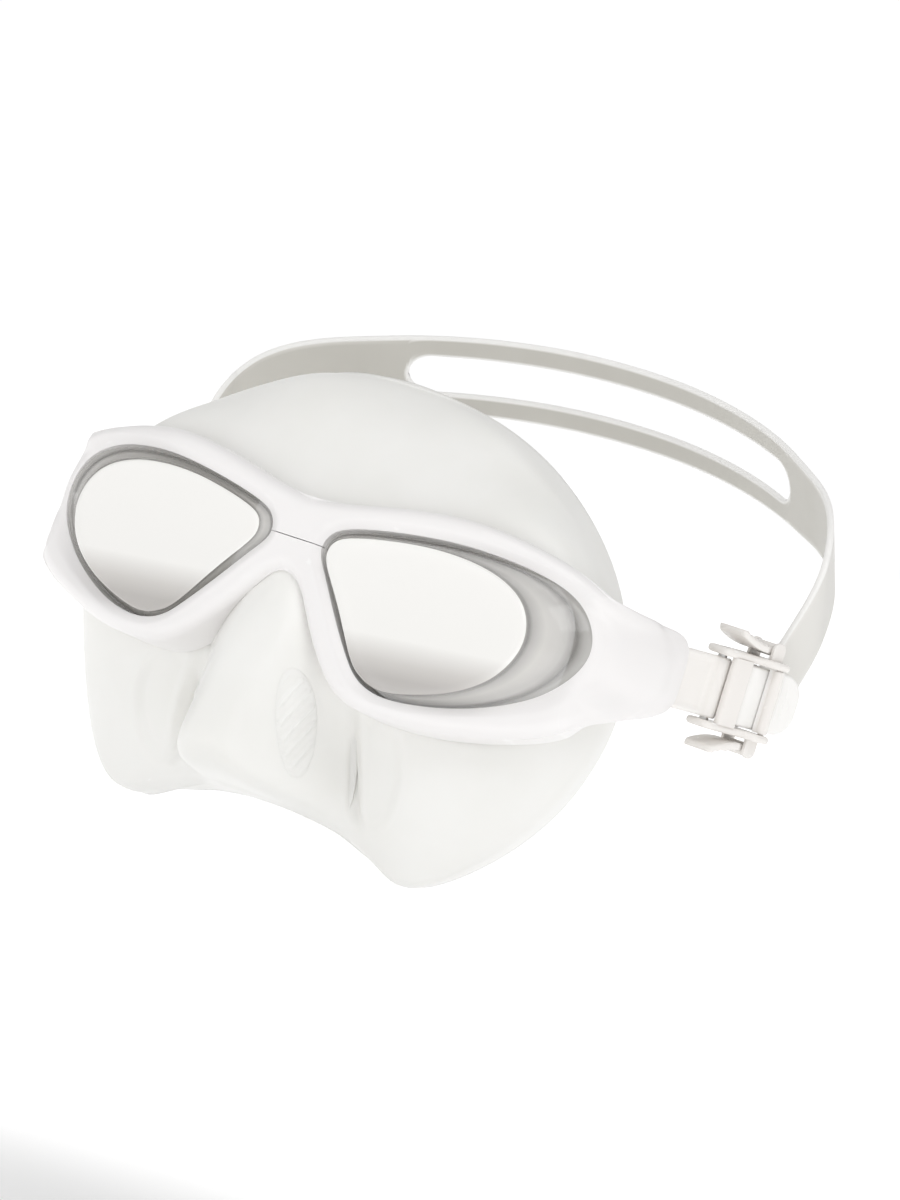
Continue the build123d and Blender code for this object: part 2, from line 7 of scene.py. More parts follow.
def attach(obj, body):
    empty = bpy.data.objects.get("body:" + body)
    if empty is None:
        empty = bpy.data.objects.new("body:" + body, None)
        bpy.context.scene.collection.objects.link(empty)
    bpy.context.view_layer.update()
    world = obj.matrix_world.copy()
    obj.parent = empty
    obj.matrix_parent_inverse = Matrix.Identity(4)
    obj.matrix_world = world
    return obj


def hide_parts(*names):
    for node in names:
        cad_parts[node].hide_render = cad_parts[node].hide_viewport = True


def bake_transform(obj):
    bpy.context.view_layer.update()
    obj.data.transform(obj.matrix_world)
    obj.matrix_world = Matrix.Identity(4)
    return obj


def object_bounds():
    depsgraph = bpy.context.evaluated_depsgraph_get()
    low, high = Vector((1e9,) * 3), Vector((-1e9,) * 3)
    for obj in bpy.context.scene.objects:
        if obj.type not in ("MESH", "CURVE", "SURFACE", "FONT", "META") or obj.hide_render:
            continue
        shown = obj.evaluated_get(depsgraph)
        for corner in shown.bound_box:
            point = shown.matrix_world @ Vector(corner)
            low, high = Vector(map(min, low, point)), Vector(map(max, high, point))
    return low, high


# A low-volume diving mask, in metres, in the frame of its CAD model: the origin is the middle
# of the face opening, +X the wearer's left, +Y towards the face, +Z up.
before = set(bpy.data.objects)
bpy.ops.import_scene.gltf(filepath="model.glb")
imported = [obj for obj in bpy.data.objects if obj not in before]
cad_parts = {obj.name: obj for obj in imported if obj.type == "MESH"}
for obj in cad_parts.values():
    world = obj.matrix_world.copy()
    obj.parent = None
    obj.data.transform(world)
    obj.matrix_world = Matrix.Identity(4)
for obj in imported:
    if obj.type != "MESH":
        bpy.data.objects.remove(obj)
cad_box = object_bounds()
MM = 0.001
BRIDGE = np.array((0.0, -0.040, 0.015))     # front of the frame, on the bridge seam


# ---- camera and studio ----
# A long lens from the wearer's front left, with the camera tilted on its own axis. The floor
# is a pale sheet below the mask that glows as painted light, weakly under the mask and strongly far off,
# and the light is a white tent with one soft key.
AZIMUTH, ELEVATION, ROLL = np.radians((30.0, 1.73, 17.0))
DISTANCE = 1.5
SIDE_SHIFT, RISE_SHIFT = 39.55 * MM, -14.86 * MM
FOCAL = 178.65
FLOOR_DROP = 0.12

level_right = np.array((np.cos(AZIMUTH), np.sin(AZIMUTH), 0.0))
back = np.array(
    (
        np.sin(AZIMUTH) * np.cos(ELEVATION),
        -np.cos(AZIMUTH) * np.cos(ELEVATION),
        np.sin(ELEVATION),
    )
)
level_up = np.cross(back, level_right)
camera_right = level_right * np.cos(ROLL) + level_up * np.sin(ROLL)
camera_up = level_up * np.cos(ROLL) - level_right * np.sin(ROLL)
camera_place = BRIDGE + back * DISTANCE + camera_right * SIDE_SHIFT + camera_up * RISE_SHIFT

camera_data = bpy.data.cameras.new("camera")
camera_data.lens = FOCAL
camera_data.sensor_width = 36.0
camera = bpy.data.objects.new("camera", camera_data)
bpy.context.scene.collection.objects.link(camera)
camera.matrix_world = Matrix(
    [[camera_right[i], camera_up[i], back[i], camera_place[i]] for i in range(3)] + [[0, 0, 0, 1]]
)
bpy.context.scene.camera = camera
bpy.context.scene.view_settings.view_transform = "Standard"


def soft_light(name, place, size, power):
    """Square area light at a place, turned towards the middle of the mask."""
    data = bpy.data.lights.new(name, "AREA")
    data.size = size
    data.energy = power
    light = bpy.data.objects.new(name, data)
    bpy.context.scene.collection.objects.link(light)
    aim = Vector(place) * -1.0
    light.location = place
    light.rotation_mode = "QUATERNION"
    light.rotation_quaternion = aim.to_track_quat("-Z", "Y")


soft_light("key", (0.9, -0.9, 1.5), 1.2, 11.5)
soft_light("fill", (-1.3, -1.2, 0.9), 1.4, 2.5)

world = bpy.data.worlds.new("tent")
bpy.context.scene.world = world
world.use_nodes = True
tent = world.node_tree
direction = tent.nodes.new("ShaderNodeTexCoord")
toward_back = tent.nodes.new("ShaderNodeVectorMath")
toward_back.operation = "DOT_PRODUCT"
toward_back.inputs[1].default_value = tuple(-back)
tent.links.new(direction.outputs["Generated"], toward_back.inputs[0])
tent_ramp = tent.nodes.new("ShaderNodeValToRGB")
tent.links.new(toward_back.outputs["Value"], tent_ramp.inputs["Fac"])
tent_ramp.color_ramp.elements[0].position = 0.80
tent_ramp.color_ramp.elements[0].color = (0.55, 0.55, 0.55, 1)
tent_ramp.color_ramp.elements[1].position = 0.965
tent_ramp.color_ramp.elements[1].color = (1.02, 1.02, 1.02, 1)
tent.links.new(tent_ramp.outputs["Color"], tent.nodes["Background"].inputs["Color"])
tent.nodes["Background"].inputs["Strength"].default_value = 1.0

floor_size = 40.0
floor_mesh = bpy.data.meshes.new("floor")
floor_z = cad_box[0].z - FLOOR_DROP
floor_mesh.from_pydata(
    [(x * floor_size, y * floor_size, floor_z) for x, y in ((-1, -1), (1, -1), (1, 1), (-1, 1))],
    [],
    [(0, 1, 2, 3)],
)
floor = bpy.data.objects.new("floor", floor_mesh)
bpy.context.scene.collection.objects.link(floor)
floor_paint = bpy.data.materials.new("floor_paint")
floor_paint.use_nodes = True
floor_tree = floor_paint.node_tree
floor_shader = floor_tree.nodes["Principled BSDF"]
floor_shader.inputs["Base Color"].default_value = (0.75, 0.75, 0.75, 1)
floor_shader.inputs["Roughness"].default_value = 0.9
floor_shader.inputs["Emission Color"].default_value = (1, 1, 1, 1)
# Painted light: the floor glows, weakly close under the mask and strongly from about 0.42 m out, by its
# distance from the middle of the mask.
floor_place = floor_tree.nodes.new("ShaderNodeTexCoord")
floor_length = floor_tree.nodes.new("ShaderNodeVectorMath")
floor_length.operation = "LENGTH"
floor_painted_glow = floor_tree.nodes.new("ShaderNodeMapRange")
floor_painted_glow.interpolation_type = "SMOOTHSTEP"
floor_painted_glow.inputs["From Min"].default_value = 0.10
floor_painted_glow.inputs["From Max"].default_value = 0.42
floor_painted_glow.inputs["To Min"].default_value = 0.10
floor_painted_glow.inputs["To Max"].default_value = 0.75
floor_tree.links.new(floor_place.outputs["Object"], floor_length.inputs[0])
floor_tree.links.new(floor_length.outputs["Value"], floor_painted_glow.inputs["Value"])
floor_tree.links.new(floor_painted_glow.outputs["Result"], floor_shader.inputs["Emission Strength"])
floor_mesh.materials.append(floor_paint)


# ---- finishes ----
# Every surface is a moulded plastic or rubber, a polished lens or a ground steel pin. Each
# finish has a slow tint change, a fine surface grain, edges painted paler as a painted highlight and
# creases painted darker as painted shade.
def ramp(tree, factor, stops):
    """Colour ramp node fed by a factor, with (place, colour) stops."""
    node = tree.nodes.new("ShaderNodeValToRGB")
    tree.links.new(factor, node.inputs["Fac"])
    row = node.color_ramp.elements
    while len(row) < len(stops):
        row.new(0.5)
    for element, (place, colour) in zip(row, stops):
        element.position = place
        element.color = (*colour, 1) if len(colour) == 3 else colour
    return node.outputs["Color"]


def noise(tree, scale, detail=3.0, stretch=(1.0, 1.0, 1.0)):
    """Noise in object space, at a number of cells for each metre."""
    place = tree.nodes.new("ShaderNodeTexCoord")
    mapping = tree.nodes.new("ShaderNodeMapping")
    mapping.inputs["Scale"].default_value = stretch
    tree.links.new(place.outputs["Object"], mapping.inputs["Vector"])
    node = tree.nodes.new("ShaderNodeTexNoise")
    node.inputs["Scale"].default_value = scale
    node.inputs["Detail"].default_value = detail
    tree.links.new(mapping.outputs["Vector"], node.inputs["Vector"])
    return node.outputs["Fac"]


def mixed(tree, factor, first, second, mode="MIX"):
    """Colour mix of two sockets or colours by a factor socket or value."""
    node = tree.nodes.new("ShaderNodeMix")
    node.data_type = "RGBA"
    node.blend_type = mode
    for socket, value in ((node.inputs[0], factor), (node.inputs[6], first), (node.inputs[7], second)):
        if isinstance(value, bpy.types.NodeSocket):
            tree.links.new(value, socket)
        else:
            socket.default_value = (*value, 1) if isinstance(value, tuple) else value
    return node.outputs[2]


def moulded(name, tint, other, edge, rough, grain, depth, soft=0.0, glow=(1.0, 1.0, 1.0), rim=None):
    """Moulded material: two close tints in slow patches, edges painted paler as a painted highlight
    and creases painted darker as painted shade, a grain of the given cells per metre and depth, and light
    that spreads inside it where soft is not 0. rim is the tint of the places where the piece's band
    attribute is 1; where it is 0 the two tints stand as painted shade."""
    paint = bpy.data.materials.new(name)
    paint.use_nodes = True
    tree = paint.node_tree
    shader = tree.nodes["Principled BSDF"]
    tone_and_shade = ramp(tree, noise(tree, 38.0), [(0.35, tint), (0.65, other)])
    geometry = tree.nodes.new("ShaderNodeNewGeometry")
    # Painted highlight: convex edges, found by pointiness, are mixed towards the paler edge colour.
    edge_highlight = ramp(tree, geometry.outputs["Pointiness"], [(0.56, (0, 0, 0)), (0.66, (1, 1, 1))])
    if rim is not None:
        # The band attribute mixes the tints towards rim; on the strap the two tints are painted shade.
        reach = tree.nodes.new("ShaderNodeAttribute")
        reach.attribute_name = "band"
        tone_and_shade = mixed(tree, reach.outputs["Fac"], tone_and_shade, rim)
    colour = mixed(tree, edge_highlight, tone_and_shade, edge)
    # Painted shade: creases and hollows, found by low pointiness, are multiplied darker.
    crease_shade = ramp(tree, geometry.outputs["Pointiness"], [(0.32, (0.86, 0.84, 0.81)), (0.43, (1, 1, 1))])
    colour = mixed(tree, 1.0, colour, crease_shade, "MULTIPLY")
    tree.links.new(colour, shader.inputs["Base Color"])
    gloss = ramp(tree, noise(tree, 210.0), [(0.3, (rough - 0.015,) * 3), (0.7, (rough + 0.02,) * 3)])
    tree.links.new(gloss, shader.inputs["Roughness"])
    bump = tree.nodes.new("ShaderNodeBump")
    bump.inputs["Strength"].default_value = 0.25
    bump.inputs["Distance"].default_value = depth
    tree.links.new(noise(tree, grain, 4.0), bump.inputs["Height"])
    tree.links.new(bump.outputs["Normal"], shader.inputs["Normal"])
    shader.inputs["Specular IOR Level"].default_value = 0.45
    shader.inputs["Subsurface Weight"].default_value = soft
    shader.inputs["Subsurface Radius"].default_value = glow
    shader.inputs["Subsurface Scale"].default_value = 0.004
    return paint


def dress(piece, *paints):
    """Gives a piece its finish in place of whatever it had."""
    piece.data.materials.clear()
    for paint in paints:
        piece.data.materials.append(paint)


# The third colour of each finish is the paler tint of its painted edge highlight.
FRAME_WHITE = moulded("frame_white_gloss", (0.885, 0.87, 0.865), (0.875, 0.858, 0.852),
                      (0.92, 0.91, 0.905), 0.34, 1400.0, 0.00002)
BUCKLE_WHITE = moulded("buckle_white_acetal", (0.86, 0.83, 0.80), (0.84, 0.81, 0.775),
                       (0.93, 0.915, 0.90), 0.26, 2200.0, 0.00002, 0.15)
SKIRT_SILICONE = moulded("skirt_white_silicone", (0.875, 0.87, 0.845), (0.85, 0.845, 0.815),
                         (0.92, 0.92, 0.90), 0.36, 1500.0, 0.00004, 0.15, (1.0, 0.98, 0.93))
TAB_MILKY = moulded("tab_milky_plastic", (0.88, 0.86, 0.835), (0.86, 0.835, 0.805),
                    (0.88, 0.86, 0.84), 0.30, 1800.0, 0.00003, 0.3)
PIN_STEEL = moulded("pin_ground_steel", (0.52, 0.51, 0.50), (0.47, 0.465, 0.46),
                    (0.70, 0.70, 0.69), 0.28, 3000.0, 0.00001)
PIN_STEEL.node_tree.nodes["Principled BSDF"].inputs["Metallic"].default_value = 1.0


# ---- skirt ----
# The soft body between the lenses and the face, one moulding of clear-white silicone: a front
# wall with two eye holes, a nose pocket, side walls that swell outwards and a thin sealing lip
# that turns inwards all round the face. It clips on the lenses under the bezels.
def spline_weights(count, places, closed=False):
    """Weights of a cubic B-spline on a polygon of count points, one row for each place 0..1.
    Closed: uniform pieces round the loop. Open: the knots are doubled up at both ends, so the
    curve starts and ends on the polygon."""
    places = np.asarray(places, float)
    if closed:
        s = (places % 1.0) * count
        i = np.floor(s).astype(int)
        t = s - i
        parts = np.stack(
            [(1 - t) ** 3, 3 * t**3 - 6 * t**2 + 4, -3 * t**3 + 3 * t**2 + 3 * t + 1, t**3], 1
        )
        weights = np.zeros((len(places), count))
        for k in range(4):
            np.add.at(weights, (np.arange(len(places)), (i - 1 + k) % count), parts[:, k] / 6)
        return weights
    degree = min(3, count - 1)
    knots = np.concatenate([np.zeros(degree), np.linspace(0, 1, count - degree + 1), np.ones(degree)])
    t = np.clip(places, 0, 1 - 1e-9)[:, None]
    basis = ((knots[:-1] <= t) & (t < knots[1:])).astype(float)
    for d in range(1, degree + 1):
        left = knots[d:-1] - knots[: -d - 1]
        right = knots[d + 1 :] - knots[1:-d]
        rise = np.where(left > 0, (t - knots[: -d - 1]) / np.where(left > 0, left, 1), 0)
        fall = np.where(right > 0, (knots[d + 1 :] - t) / np.where(right > 0, right, 1), 0)
        basis = rise * basis[:, :-1] + fall * basis[:, 1:]
    return basis


def through(points, closed, rounds=6):
    """Control points whose cubic B-spline runs nearly through the given ones: the miss at each
    point is added to its control point, a few times over."""
    control = points.copy()
    for _ in range(rounds):
        if closed:
            met = (np.roll(control, 1, 0) + 4 * control + np.roll(control, -1, 0)) / 6
        else:
            met = control.copy()
            met[1:-1] = (control[:-2] + 4 * control[1:-1] + control[2:]) / 6
        control = control + (points - met)
    return control


def quads(rows, columns, first=0, wrap=False):
    """Corner numbers of the faces of a grid of points, as an array of quads."""
    index = np.arange(rows * columns).reshape(rows, columns) + first
    if wrap:
        index = np.concatenate([index, index[:, :1]], 1)
    return np.stack([index[:-1, :-1], index[:-1, 1:], index[1:, 1:], index[1:, :-1]], -1).reshape(-1, 4)


def skin(name, grids, wraps=None, sharp=None, band=None):
    """One closed mesh from point grids that touch along their edges: points that meet are
    merged, faces without area go, and all faces turn outwards. band is a value for each point
    of each grid, kept as an attribute that its material can read."""
    wraps = wraps or [False] * len(grids)
    firsts = np.cumsum([0] + [g.shape[0] * g.shape[1] for g in grids])
    faces = [quads(g.shape[0], g.shape[1], f, w) for g, f, w in zip(grids, firsts, wraps)]
    points = np.concatenate([g.reshape(-1, 3) for g in grids])
    mesh = bpy.data.meshes.new(name)
    mesh.from_pydata(points, [], np.concatenate(faces).tolist())
    if band is not None:
        values = mesh.attributes.new("band", "FLOAT", "POINT")
        values.data.foreach_set("value", np.concatenate([b.ravel() for b in band]).astype(np.float32))
    shell = bmesh.new()
    shell.from_mesh(mesh)
    bmesh.ops.remove_doubles(shell, verts=shell.verts, dist=2e-6)
    bmesh.ops.dissolve_degenerate(shell, edges=shell.edges, dist=1e-6)
    bmesh.ops.recalc_face_normals(shell, faces=shell.faces)
    shell.to_mesh(mesh)
    shell.free()
    mesh.shade_smooth()
    if sharp is not None:
        mesh.set_sharp_from_angle(angle=np.radians(sharp))
    piece = bpy.data.objects.new(name, mesh)
    bpy.context.scene.collection.objects.link(piece)
    return piece


def mirrored(points):
    """The same points on the wearer's other side."""
    return points * np.array((-1.0, 1.0, 1.0))


def grid_normals(points, closed):
    """Unit normals of a grid of points, from the cross product of its two directions."""
    around = np.roll(points, -1, 1) - np.roll(points, 1, 1) if closed else np.gradient(points, axis=1)
    normal = np.cross(np.gradient(points, axis=0), around)
    return normal / np.maximum(np.linalg.norm(normal, axis=-1, keepdims=True), 1e-12)


def eased(value, low, high):
    """0 below low, 1 above high, and a smooth step between them."""
    t = np.clip((value - low) / (high - low), 0, 1)
    return t * t * (3 - 2 * t)


# Rows from the frame back to the face, each from the top centre round the wearer's left to the
# nose ridge, as (across, behind the bridge front, above the bridge seam) in millimetres.
SKIRT_ROWS = np.array(
    [
        [(0, 7, 11), (22, 9, 13), (42, 13, 14), (60, 18, 12), (71, 22, 4), (74, 23, -8),
         (70, 22, -20), (60, 19, -28), (48, 15, -34), (36, 12, -34), (27, 10, -30),
         (19, 8, -22), (11, 6, -12.5), (5, 4, -6.5), (0, 3, -4)],
        [(0, 12, 19), (22, 13, 21), (42, 16, 21.5), (60, 20, 18), (72, 24, 8), (76, 26, -8),
         (73, 24, -24), (63, 20, -35), (49, 15, -42), (37, 12, -42), (28, 11, -37),
         (20.5, 9, -30), (11, -1, -24), (5.5, -4.5, -22), (0, -5.3, -21)],
        [(0, 18, 30), (22, 19, 31), (41, 22, 28.5), (60, 25, 22), (73, 30, 9), (78, 32, -9),
         (76, 30, -29), (66, 25, -45), (50, 19, -56), (37, 17, -56), (29, 16, -50),
         (22, 15, -43), (12.5, -2, -40), (6, -9.3, -38.5), (0, -10.2, -38)],
        [(0, 24, 38), (22, 25, 38.5), (40, 28, 34), (58, 31, 25), (72, 36, 10), (79, 38, -10),
         (77.5, 37, -32), (67, 31, -54), (50, 24, -70), (37, 22, -69), (30, 21, -62),
         (23, 18, -55), (13.5, -2, -51.5), (6.8, -12.3, -50.5), (0, -13.5, -50)],
        [(0, 30, 43.5), (22, 31, 43.3), (40, 34, 37.3), (56, 38, 26.5), (70, 43, 10), (78, 45, -11),
         (77, 42, -34), (66, 35, -57.5), (49, 26.5, -74), (37, 25, -73), (29.5, 23, -68),
         (22, 19, -63), (13.5, -1, -60.5), (6.8, -8.5, -59.8), (0, -9.4, -59.3)],
        [(0, 33, 46), (23, 36, 44), (41, 44, 36.5), (55, 52, 24), (66, 56, 8), (72, 58, -12),
         (72, 53, -36), (63, 42, -59), (47, 33, -74.5), (36, 30, -74), (28, 27, -70),
         (20, 23, -66.5), (12, 12, -64.5), (6, 8.5, -64), (0, 8, -63.8)],
        [(0, 34, 47), (23, 39, 43.5), (40, 48, 34.5), (52, 57, 21), (60, 63, 6), (64, 65, -13),
         (65, 60, -37), (59, 48, -58), (45, 38, -72.5), (35, 35, -72.5), (27, 33, -70.5),
         (19, 30, -68.5), (11, 28, -67.3), (5.5, 27, -66.8), (0, 27, -66.7)],
    ],
    float,
)
SKIRT_WALL = 2.2 * MM
LIP_WALL = 0.9 * MM
LIP_WIDTH = 8.0 * MM
AROUND, ALONG = 440, 72

half_rows = BRIDGE + SKIRT_ROWS * MM
rows = np.concatenate([half_rows, mirrored(half_rows[:, -2:0:-1])], 1)
control = through(rows.transpose(1, 0, 2), True).transpose(1, 0, 2)
control = through(control, False)
round_weights = spline_weights(control.shape[1], np.arange(AROUND) / AROUND, closed=True)
back_weights = spline_weights(control.shape[0], np.linspace(0, 1, ALONG))
outer_wall = np.einsum("ar,rcx,bc->abx", back_weights, control, round_weights)

wall_normal = grid_normals(outer_wall, True)
outward = outer_wall - outer_wall.mean((0, 1))
wall_normal *= np.sign((wall_normal * outward).sum(-1).mean())
thickness = SKIRT_WALL + (LIP_WALL - SKIRT_WALL) * np.linspace(0, 1, ALONG)[:, None, None] ** 3
inner_wall = outer_wall - wall_normal * thickness

# A finger recess on each side of the nose base, and a bead along the edge that meets the face.
at = (outer_wall - BRIDGE) / MM
cheek = np.hypot((abs(at[..., 0]) - 32) / 10.5, (at[..., 2] + 50) / 17)
recess = (1 - eased(cheek, 0.68, 1.0)) * eased(-wall_normal[..., 1], 0.75, 0.95) * 1.3 * MM
row_share = np.linspace(0, 1, ALONG)[:, None]
bead = np.exp(-(((row_share - 0.93) / 0.012) ** 2)) * 0.5 * MM
outer_wall = outer_wall + wall_normal * (bead - recess)[..., None]
inner_wall = inner_wall - wall_normal * recess[..., None]

edge = outer_wall[-1]
edge_middle = np.array((0.0, 0.0, BRIDGE[2] - 12 * MM))
inward = (edge_middle - edge) * np.array((1.0, 0.0, 1.0))
inward /= np.linalg.norm(inward, axis=1, keepdims=True)
reach = np.linspace(0, 1, 9)[1:, None, None]
lip_back = edge + inward * LIP_WIDTH * reach
lip_back[..., 1] -= (0.4 * MM + 0.5 * MM * np.sin(np.pi * reach))[..., 0]
lip_front = lip_back[::-1][1:] - np.array((0.0, 1.0, 0.0)) * LIP_WALL
wall_rows = np.concatenate([outer_wall, lip_back, lip_front[:-1], inner_wall[:-2][::-1]])

skirt = skin("skirt_body", [wall_rows], [True])
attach(skirt, "mask")
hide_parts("skirt")
dress(skirt, SKIRT_SILICONE)

# ---- lenses ----
# One clear moulding for each eye: a flat window, a curved side wall that opens the view towards
# the temple, and a flange that the skirt's bead clips on. Injection-moulded and polished.
RAKE = np.radians(7.0)
OUT_OF_FRONT = np.array((0.0, np.cos(RAKE), -np.sin(RAKE)))
UP_FRONT = np.array((0.0, np.sin(RAKE), np.cos(RAKE)))
SEAT_DEPTH, SEAT_SLOPE = 1.3, 0.2162
WINDOW_DEPTH, WINDOW_SLOPE = -1.6, 0.0998
LENS_WALL, FLANGE_WIDTH, FLANGE_BACK = 2.3, 0.9, 1.8
OPENING = [(8, 0), (9.2, 4.6), (14, 7.4), (24, 9.8), (38, 12), (51, 12.9), (63, 12.3), (72.5, 9.8),
           (78.5, 5.0), (81, -1.5), (79.4, -8.7), (74, -15.7), (66, -21.6), (56, -26.4), (46, -29.3),
           (37.5, -30), (31, -28.2), (25.5, -23.4), (18, -14.2), (11.5, -5.5)]
WINDOW = [(10.7, -0.3), (12.1, 3.4), (16.5, 5.5), (24, 7.3), (35, 9.0), (46, 9.3), (55.5, 8.0), (62.8, 5.0),
          (67.2, 0.6), (69, -5), (68, -11), (64, -17.4), (57, -22.7), (49.5, -26), (42, -28.2),
          (35.8, -28.7), (30.9, -27), (26.3, -22.9), (19.2, -12.9), (13.1, -5.0)]
ARC_STEPS, RUN_STEPS = 22, 18


def on_front(across, depth, height):
    """Points of the raked front: across + depth into it + height up it, all from the bridge."""
    flat = np.stack(np.broadcast_arrays(across, depth, height), -1) * MM
    axes = np.array([(1.0, 0.0, 0.0), OUT_OF_FRONT, UP_FRONT])
    return BRIDGE + flat @ axes


def corner_loop(corners, arc_steps=ARC_STEPS, run_steps=RUN_STEPS):
    """Closed outline with an arc at each corner. For a turn g and radius r the arc starts and
    ends r tan(g/2) from the corner. Each arc and each run has its own fixed number of points,
    so outlines with the same corners match point for point."""
    table = np.array(corners, float)
    place, radius = table[:, :2], table[:, 2]
    into = place - np.roll(place, 1, 0)
    into /= np.linalg.norm(into, axis=1, keepdims=True)
    onward = np.roll(into, -1, 0)
    turn = np.arctan2(into[:, 0] * onward[:, 1] - into[:, 1] * onward[:, 0], (into * onward).sum(1))
    start = place - into * (radius * np.tan(abs(turn) / 2))[:, None]
    side = np.stack([-into[:, 1], into[:, 0]], 1) * np.sign(turn)[:, None]
    centre = start + side * radius[:, None]
    angle = turn[:, None] * np.linspace(0, 1, arc_steps)
    c, s = np.cos(angle)[..., None], np.sin(angle)[..., None]
    spoke = -side[:, None] * radius[:, None, None]
    turned = np.stack([-spoke[..., 1], spoke[..., 0]], -1)
    arcs = centre[:, None] + spoke * c + turned * s
    share = np.linspace(0, 1, run_steps + 1)[1:, None]
    runs = arcs[:, -1:] + (np.roll(arcs[:, 0], -1, 0)[:, None] - arcs[:, -1:]) * share
    return np.concatenate([arcs, runs[:, :-1]], 1).reshape(-1, 2)


def grown(loop, amount):
    """A closed flat loop moved sideways by an amount, outwards where it is positive."""
    along = np.roll(loop, -1, 0) - np.roll(loop, 1, 0)
    along /= np.maximum(np.linalg.norm(along, axis=1, keepdims=True), 1e-9)
    return loop + np.stack([-along[:, 1], along[:, 0]], 1) * amount


def smooth_loop(points, steps=14):
    """Closed smooth curve through flat points, with the same number of steps between any two."""
    control = through(np.array(points, float), True, 12)
    places = np.arange(len(points) * steps) / (len(points) * steps)
    return spline_weights(len(points), places, closed=True) @ control


opening = smooth_loop(OPENING)
window = smooth_loop(WINDOW)


def seat_points(loop, behind):
    """The points of a loop on the lens seat, or the given distance behind it."""
    lean = np.arctan(SEAT_SLOPE)
    x = loop[:, 0] - np.sin(lean) * behind
    return on_front(x, SEAT_DEPTH + SEAT_SLOPE * loop[:, 0] + np.cos(lean) * behind, loop[:, 1])


def window_points(loop, behind):
    """The points of a loop on the plane of the flat window, or behind it."""
    return on_front(loop[:, 0], WINDOW_DEPTH + WINDOW_SLOPE * loop[:, 0] + behind, loop[:, 1])


def lens_rings(inset, behind):
    """Rings from the middle of the window to the seat: shares of the window's own outline, then
    a side wall that bellies outwards between the window's edge and the seat."""
    rim = grown(window, -inset)
    foot = grown(opening, -0.3 - inset)
    middle = rim.mean(0)
    shares = (0.0, 0.45, 0.8, 0.95, 1.0)
    flat = [window_points(middle + (rim - middle) * f, behind) for f in shares]
    top, bottom = flat[-1], seat_points(foot, 0)
    belly = [
        top + (bottom - top) * (f + 0.10 * np.sin(np.pi * f)) * (1, f**0.75 / f, 1)
        for f in (0.12, 0.4, 0.75)
    ]
    control = np.array(flat + belly + [bottom])
    places = np.concatenate([np.linspace(0, 0.4, 6)[:-1], np.linspace(0.4, 1, 30)])
    return np.einsum("ar,rcx->acx", spline_weights(len(control), places), control), places


WINDOW_GLASS = bpy.data.materials.new("lens_window_glass")
WINDOW_GLASS.use_nodes = True
window_tree = WINDOW_GLASS.node_tree
window_shader = window_tree.nodes["Principled BSDF"]
window_place = window_tree.nodes.new("ShaderNodeTexCoord")
window_split = window_tree.nodes.new("ShaderNodeSeparateXYZ")
window_tree.links.new(window_place.outputs["Object"], window_split.inputs["Vector"])


def sum_node(tree, operation, first, second):
    """Math node on two sockets or values."""
    node = tree.nodes.new("ShaderNodeMath")
    node.operation = operation
    for socket, value in zip(node.inputs, (first, second)):
        if isinstance(value, bpy.types.NodeSocket):
            tree.links.new(value, socket)
        else:
            socket.default_value = value
    return node.outputs[0]


which_eye = sum_node(window_tree, "SIGN", window_split.outputs["X"], 0.0)
from_eye = sum_node(window_tree, "SUBTRACT", window_split.outputs["X"],
                    sum_node(window_tree, "MULTIPLY", which_eye, 0.038))
leaning = sum_node(window_tree, "ADD", window_split.outputs["Z"],
                   sum_node(window_tree, "MULTIPLY", from_eye, -0.10))
window_height = window_tree.nodes.new("ShaderNodeMapRange")
window_height.inputs["From Min"].default_value = BRIDGE[2] - 0.030
window_height.inputs["From Max"].default_value = BRIDGE[2] + 0.010
window_tree.links.new(leaning, window_height.inputs["Value"])
# Painted shade: the window's colour falls from near white high in the window to grey low down, by height in
# the mask.
window_painted_shade = ramp(window_tree, window_height.outputs["Result"],
                   [(0.12, (0.53, 0.51, 0.49)), (0.22, (0.66, 0.64, 0.615)), (0.37, (0.93, 0.92, 0.895)),
                    (1.0, (0.945, 0.935, 0.91))])
window_tree.links.new(window_painted_shade, window_shader.inputs["Base Color"])
window_gloss = ramp(window_tree, noise(window_tree, 60.0), [(0.3, (0.05,) * 3), (0.7, (0.09,) * 3)])
window_tree.links.new(window_gloss, window_shader.inputs["Roughness"])
window_shader.inputs["Alpha"].default_value = 0.93
window_shader.inputs["Specular IOR Level"].default_value = 0.35

WALL_GLASS = bpy.data.materials.new("lens_wall_glass")
WALL_GLASS.use_nodes = True
wall_tree = WALL_GLASS.node_tree
wall_shader = wall_tree.nodes["Principled BSDF"]
wall_band = wall_tree.nodes.new("ShaderNodeAttribute")
wall_band.attribute_name = "band"
# Painted reflections: two thin dark lines along the side wall, one just past the window's edge and one near
# the seat, on a grey that is paler between them.
wall_painted_reflections = ramp(wall_tree, wall_band.outputs["Fac"],
                 [(0.50, (0.40, 0.385, 0.36)), (0.545, (0.13, 0.12, 0.11)), (0.60, (0.42, 0.41, 0.39)),
                  (0.72, (0.66, 0.64, 0.61)), (0.86, (0.60, 0.585, 0.56)), (0.92, (0.20, 0.19, 0.18)),
                  (0.96, (0.55, 0.54, 0.52)), (1.0, (0.72, 0.71, 0.69))])
wall_tree.links.new(wall_painted_reflections, wall_shader.inputs["Base Color"])
wall_gloss = ramp(wall_tree, noise(wall_tree, 90.0), [(0.3, (0.04,) * 3), (0.7, (0.08,) * 3)])
wall_tree.links.new(wall_gloss, wall_shader.inputs["Roughness"])
wall_shader.inputs["Alpha"].default_value = 0.62
wall_shader.inputs["Specular IOR Level"].default_value = 0.5


